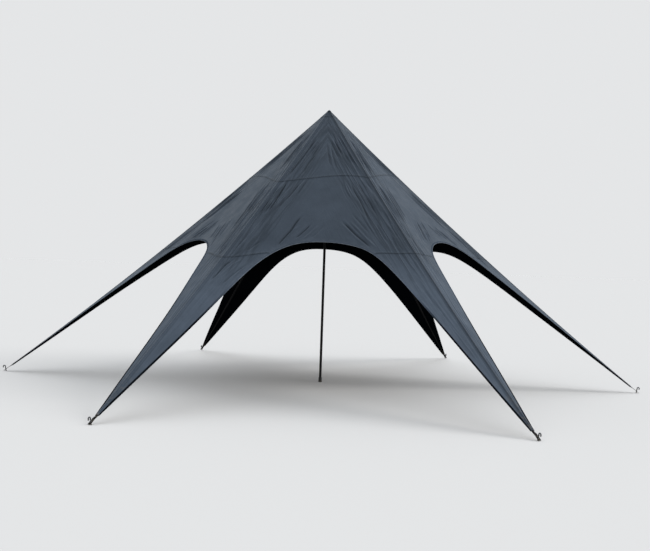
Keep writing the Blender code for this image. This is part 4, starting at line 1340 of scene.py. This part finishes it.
def pole_paint():
    """Black powder coat: fine orange peel, thin scuffs down to grey, dust."""
    recipe = Recipe("black_powder_coat", specular=0.12)
    scuffs = recipe.place.scaled(260.0, 260.0, 9.0).noise(1.0, 5.0).ramp(0.66, 0.74)
    scuffs *= recipe.patches(5.0, 3.0, 0.45, 0.6)
    dust = recipe.height.fall(0.0, 0.5) * recipe.patches(30.0, 6.0, 0.4, 0.75)
    base = scuffs.mix((0.0026, 0.0028, 0.0030), (0.040, 0.041, 0.043))
    base = (dust * 0.15).mix(base, (0.10, 0.09, 0.07))
    rough = recipe.patches(40.0, 4.0, 0.3, 0.7, 0.36, 0.52)
    return recipe.finish(base, rough, (recipe.place.noise(1400.0, 2.0), 0.00012))


def rubber_material():
    """Black rubber with a grey bloom, dusty near the ground."""
    recipe = Recipe("black_rubber", specular=0.3)
    bloom = recipe.patches(70.0, 5.0, 0.35, 0.7)
    dust = recipe.height.fall(0.0, 0.05) * recipe.patches(160.0, 5.0, 0.35, 0.65)
    base = (bloom * 0.5).mix((0.012, 0.012, 0.012), (0.030, 0.030, 0.031))
    base = (dust * 0.5).mix(base, (0.13, 0.11, 0.08))
    return recipe.finish(base, 0.78, (recipe.place.noise(900.0, 3.0), 0.0001))


def peg_steel():
    """Zinc-plated bar gone dull and dark out of doors, earth where it enters the ground."""
    recipe = Recipe("weathered_zinc_steel", metallic=1.0)
    tarnish = recipe.patches(90.0, 6.0, 0.42, 0.64)
    earth = recipe.height.fall(0.002, 0.035) * recipe.patches(200.0, 6.0, 0.3, 0.6)
    base = recipe.patches(240.0, 3.0, 0.3, 0.7, 0.75, 1.1).times_colour((0.075, 0.077, 0.080))
    base = (tarnish * 0.75).mix(base, (0.022, 0.021, 0.020))
    base = earth.mix(base, (0.075, 0.058, 0.040))
    put(recipe.inputs["Metallic"], 1.0 - earth)
    rough = recipe.patches(120.0, 4.0, 0.3, 0.7, 0.42, 0.65)
    return recipe.finish(base, rough, (recipe.place.noise(700.0, 3.0), 0.00015))


# Floor, light and camera

def floor_colour():
    """The colour at which the lit floor looks like the sky at the horizon, so that no line shows there."""
    horizon, zenith = np.array(HORIZON), np.array(ZENITH)
    rises = (np.arange(SKY_STEPS)[:, None] + 0.5) / SKY_STEPS
    share = smooth_step(rises, SKY_RISE_FROM, 1.0)
    light = ((horizon * (1.0 - share) + zenith * share) * 2.0 * rises).mean(axis=0)
    key_share = KEY_TOWARDS[2] / Vector(KEY_TOWARDS).length
    return tuple(horizon / (light + KEY_STRENGTH * key_share / math.pi * np.array(KEY_COLOUR)))


def build_stage():
    bpy.ops.mesh.primitive_circle_add(
        vertices=96, radius=FLOOR_RADIUS, fill_type="NGON", location=(0.0, 0.0, -FLOOR_DROP))
    floor = bpy.context.object
    floor.name = "floor"
    floor.data.materials.append(Recipe("pale_floor", specular=0.0).finish(floor_colour(), 0.9))
    world = bpy.data.worlds.new("overcast")
    world.use_nodes = True
    rise = add_node(world.node_tree, "TexCoord", {}, "Generated").parts()[2]
    sky = rise.ramp(SKY_RISE_FROM, 1.0).mix(HORIZON, ZENITH)
    put(world.node_tree.nodes["Background"].inputs["Color"], sky)
    bpy.context.scene.world = world
    sun = bpy.data.lights.new("soft_key", "SUN")
    sun.energy = KEY_STRENGTH
    sun.color = KEY_COLOUR
    sun.angle = math.radians(KEY_ANGLE)
    key = bpy.data.objects.new("soft_key", sun)
    key.rotation_euler = Vector(KEY_TOWARDS).to_track_quat("Z", "Y").to_euler()
    bpy.context.scene.collection.objects.link(key)
    bpy.context.scene.view_settings.view_transform = "Standard"


def build_camera():
    data = bpy.data.cameras.new("photo_camera")
    data.sensor_width = SENSOR_WIDTH
    data.sensor_fit = "HORIZONTAL"
    data.lens = FOCAL_PIXELS / IMAGE_WIDTH * SENSOR_WIDTH
    data.clip_end = 1000.0
    camera = bpy.data.objects.new("photo_camera", data)
    turns = ((CAMERA_YAW, "Z"), (math.pi / 2.0, "X"), (CAMERA_PITCH, "X"), (CAMERA_ROLL, "Z"))
    camera.matrix_world = Matrix.Translation(CAMERA_PLACE)
    for angle, axis in turns:
        camera.matrix_world = camera.matrix_world @ Matrix.Rotation(angle, 4, axis)
    bpy.context.scene.collection.objects.link(camera)
    bpy.context.scene.camera = camera


def main():
    build_camera()
    build_stage()
    net = bay_net()
    outer_fabric = tent_fabric("slate_polyester", SLATE, *CLOTH_FINISH)
    inner_fabric = tent_fabric("black_coating", BLACK_COATING, *COATING_FINISH)
    hems = (
        hem_fabric("slate_hem", tuple(HEM_TONE_AND_SHEEN * part for part in SLATE), 0.70),
        hem_fabric("black_hem", BLACK_COATING, 0.75),
    )
    build_canopy(net, (outer_fabric, inner_fabric), hems)
    webbing = webbing_material()
    steel = peg_steel()
    for arm, azimuth in ARMS:
        build_webbing(f"{arm}_ridge_strap", f"{arm}_ridge_webbing", net, azimuth, webbing)
        strap_end(f"{arm}_strap_eye", azimuth, webbing)
        build_peg(f"{arm}_hook_peg", f"{arm}_peg", azimuth, steel)
    cap_fabric = tent_fabric("slate_cap", tuple(CAP_TONE * part for part in SLATE), *CLOTH_FINISH)
    build_cap("peak_cap_fabric", (cap_fabric, inner_fabric))
    build_pole(pole_paint(), rubber_material())


main()
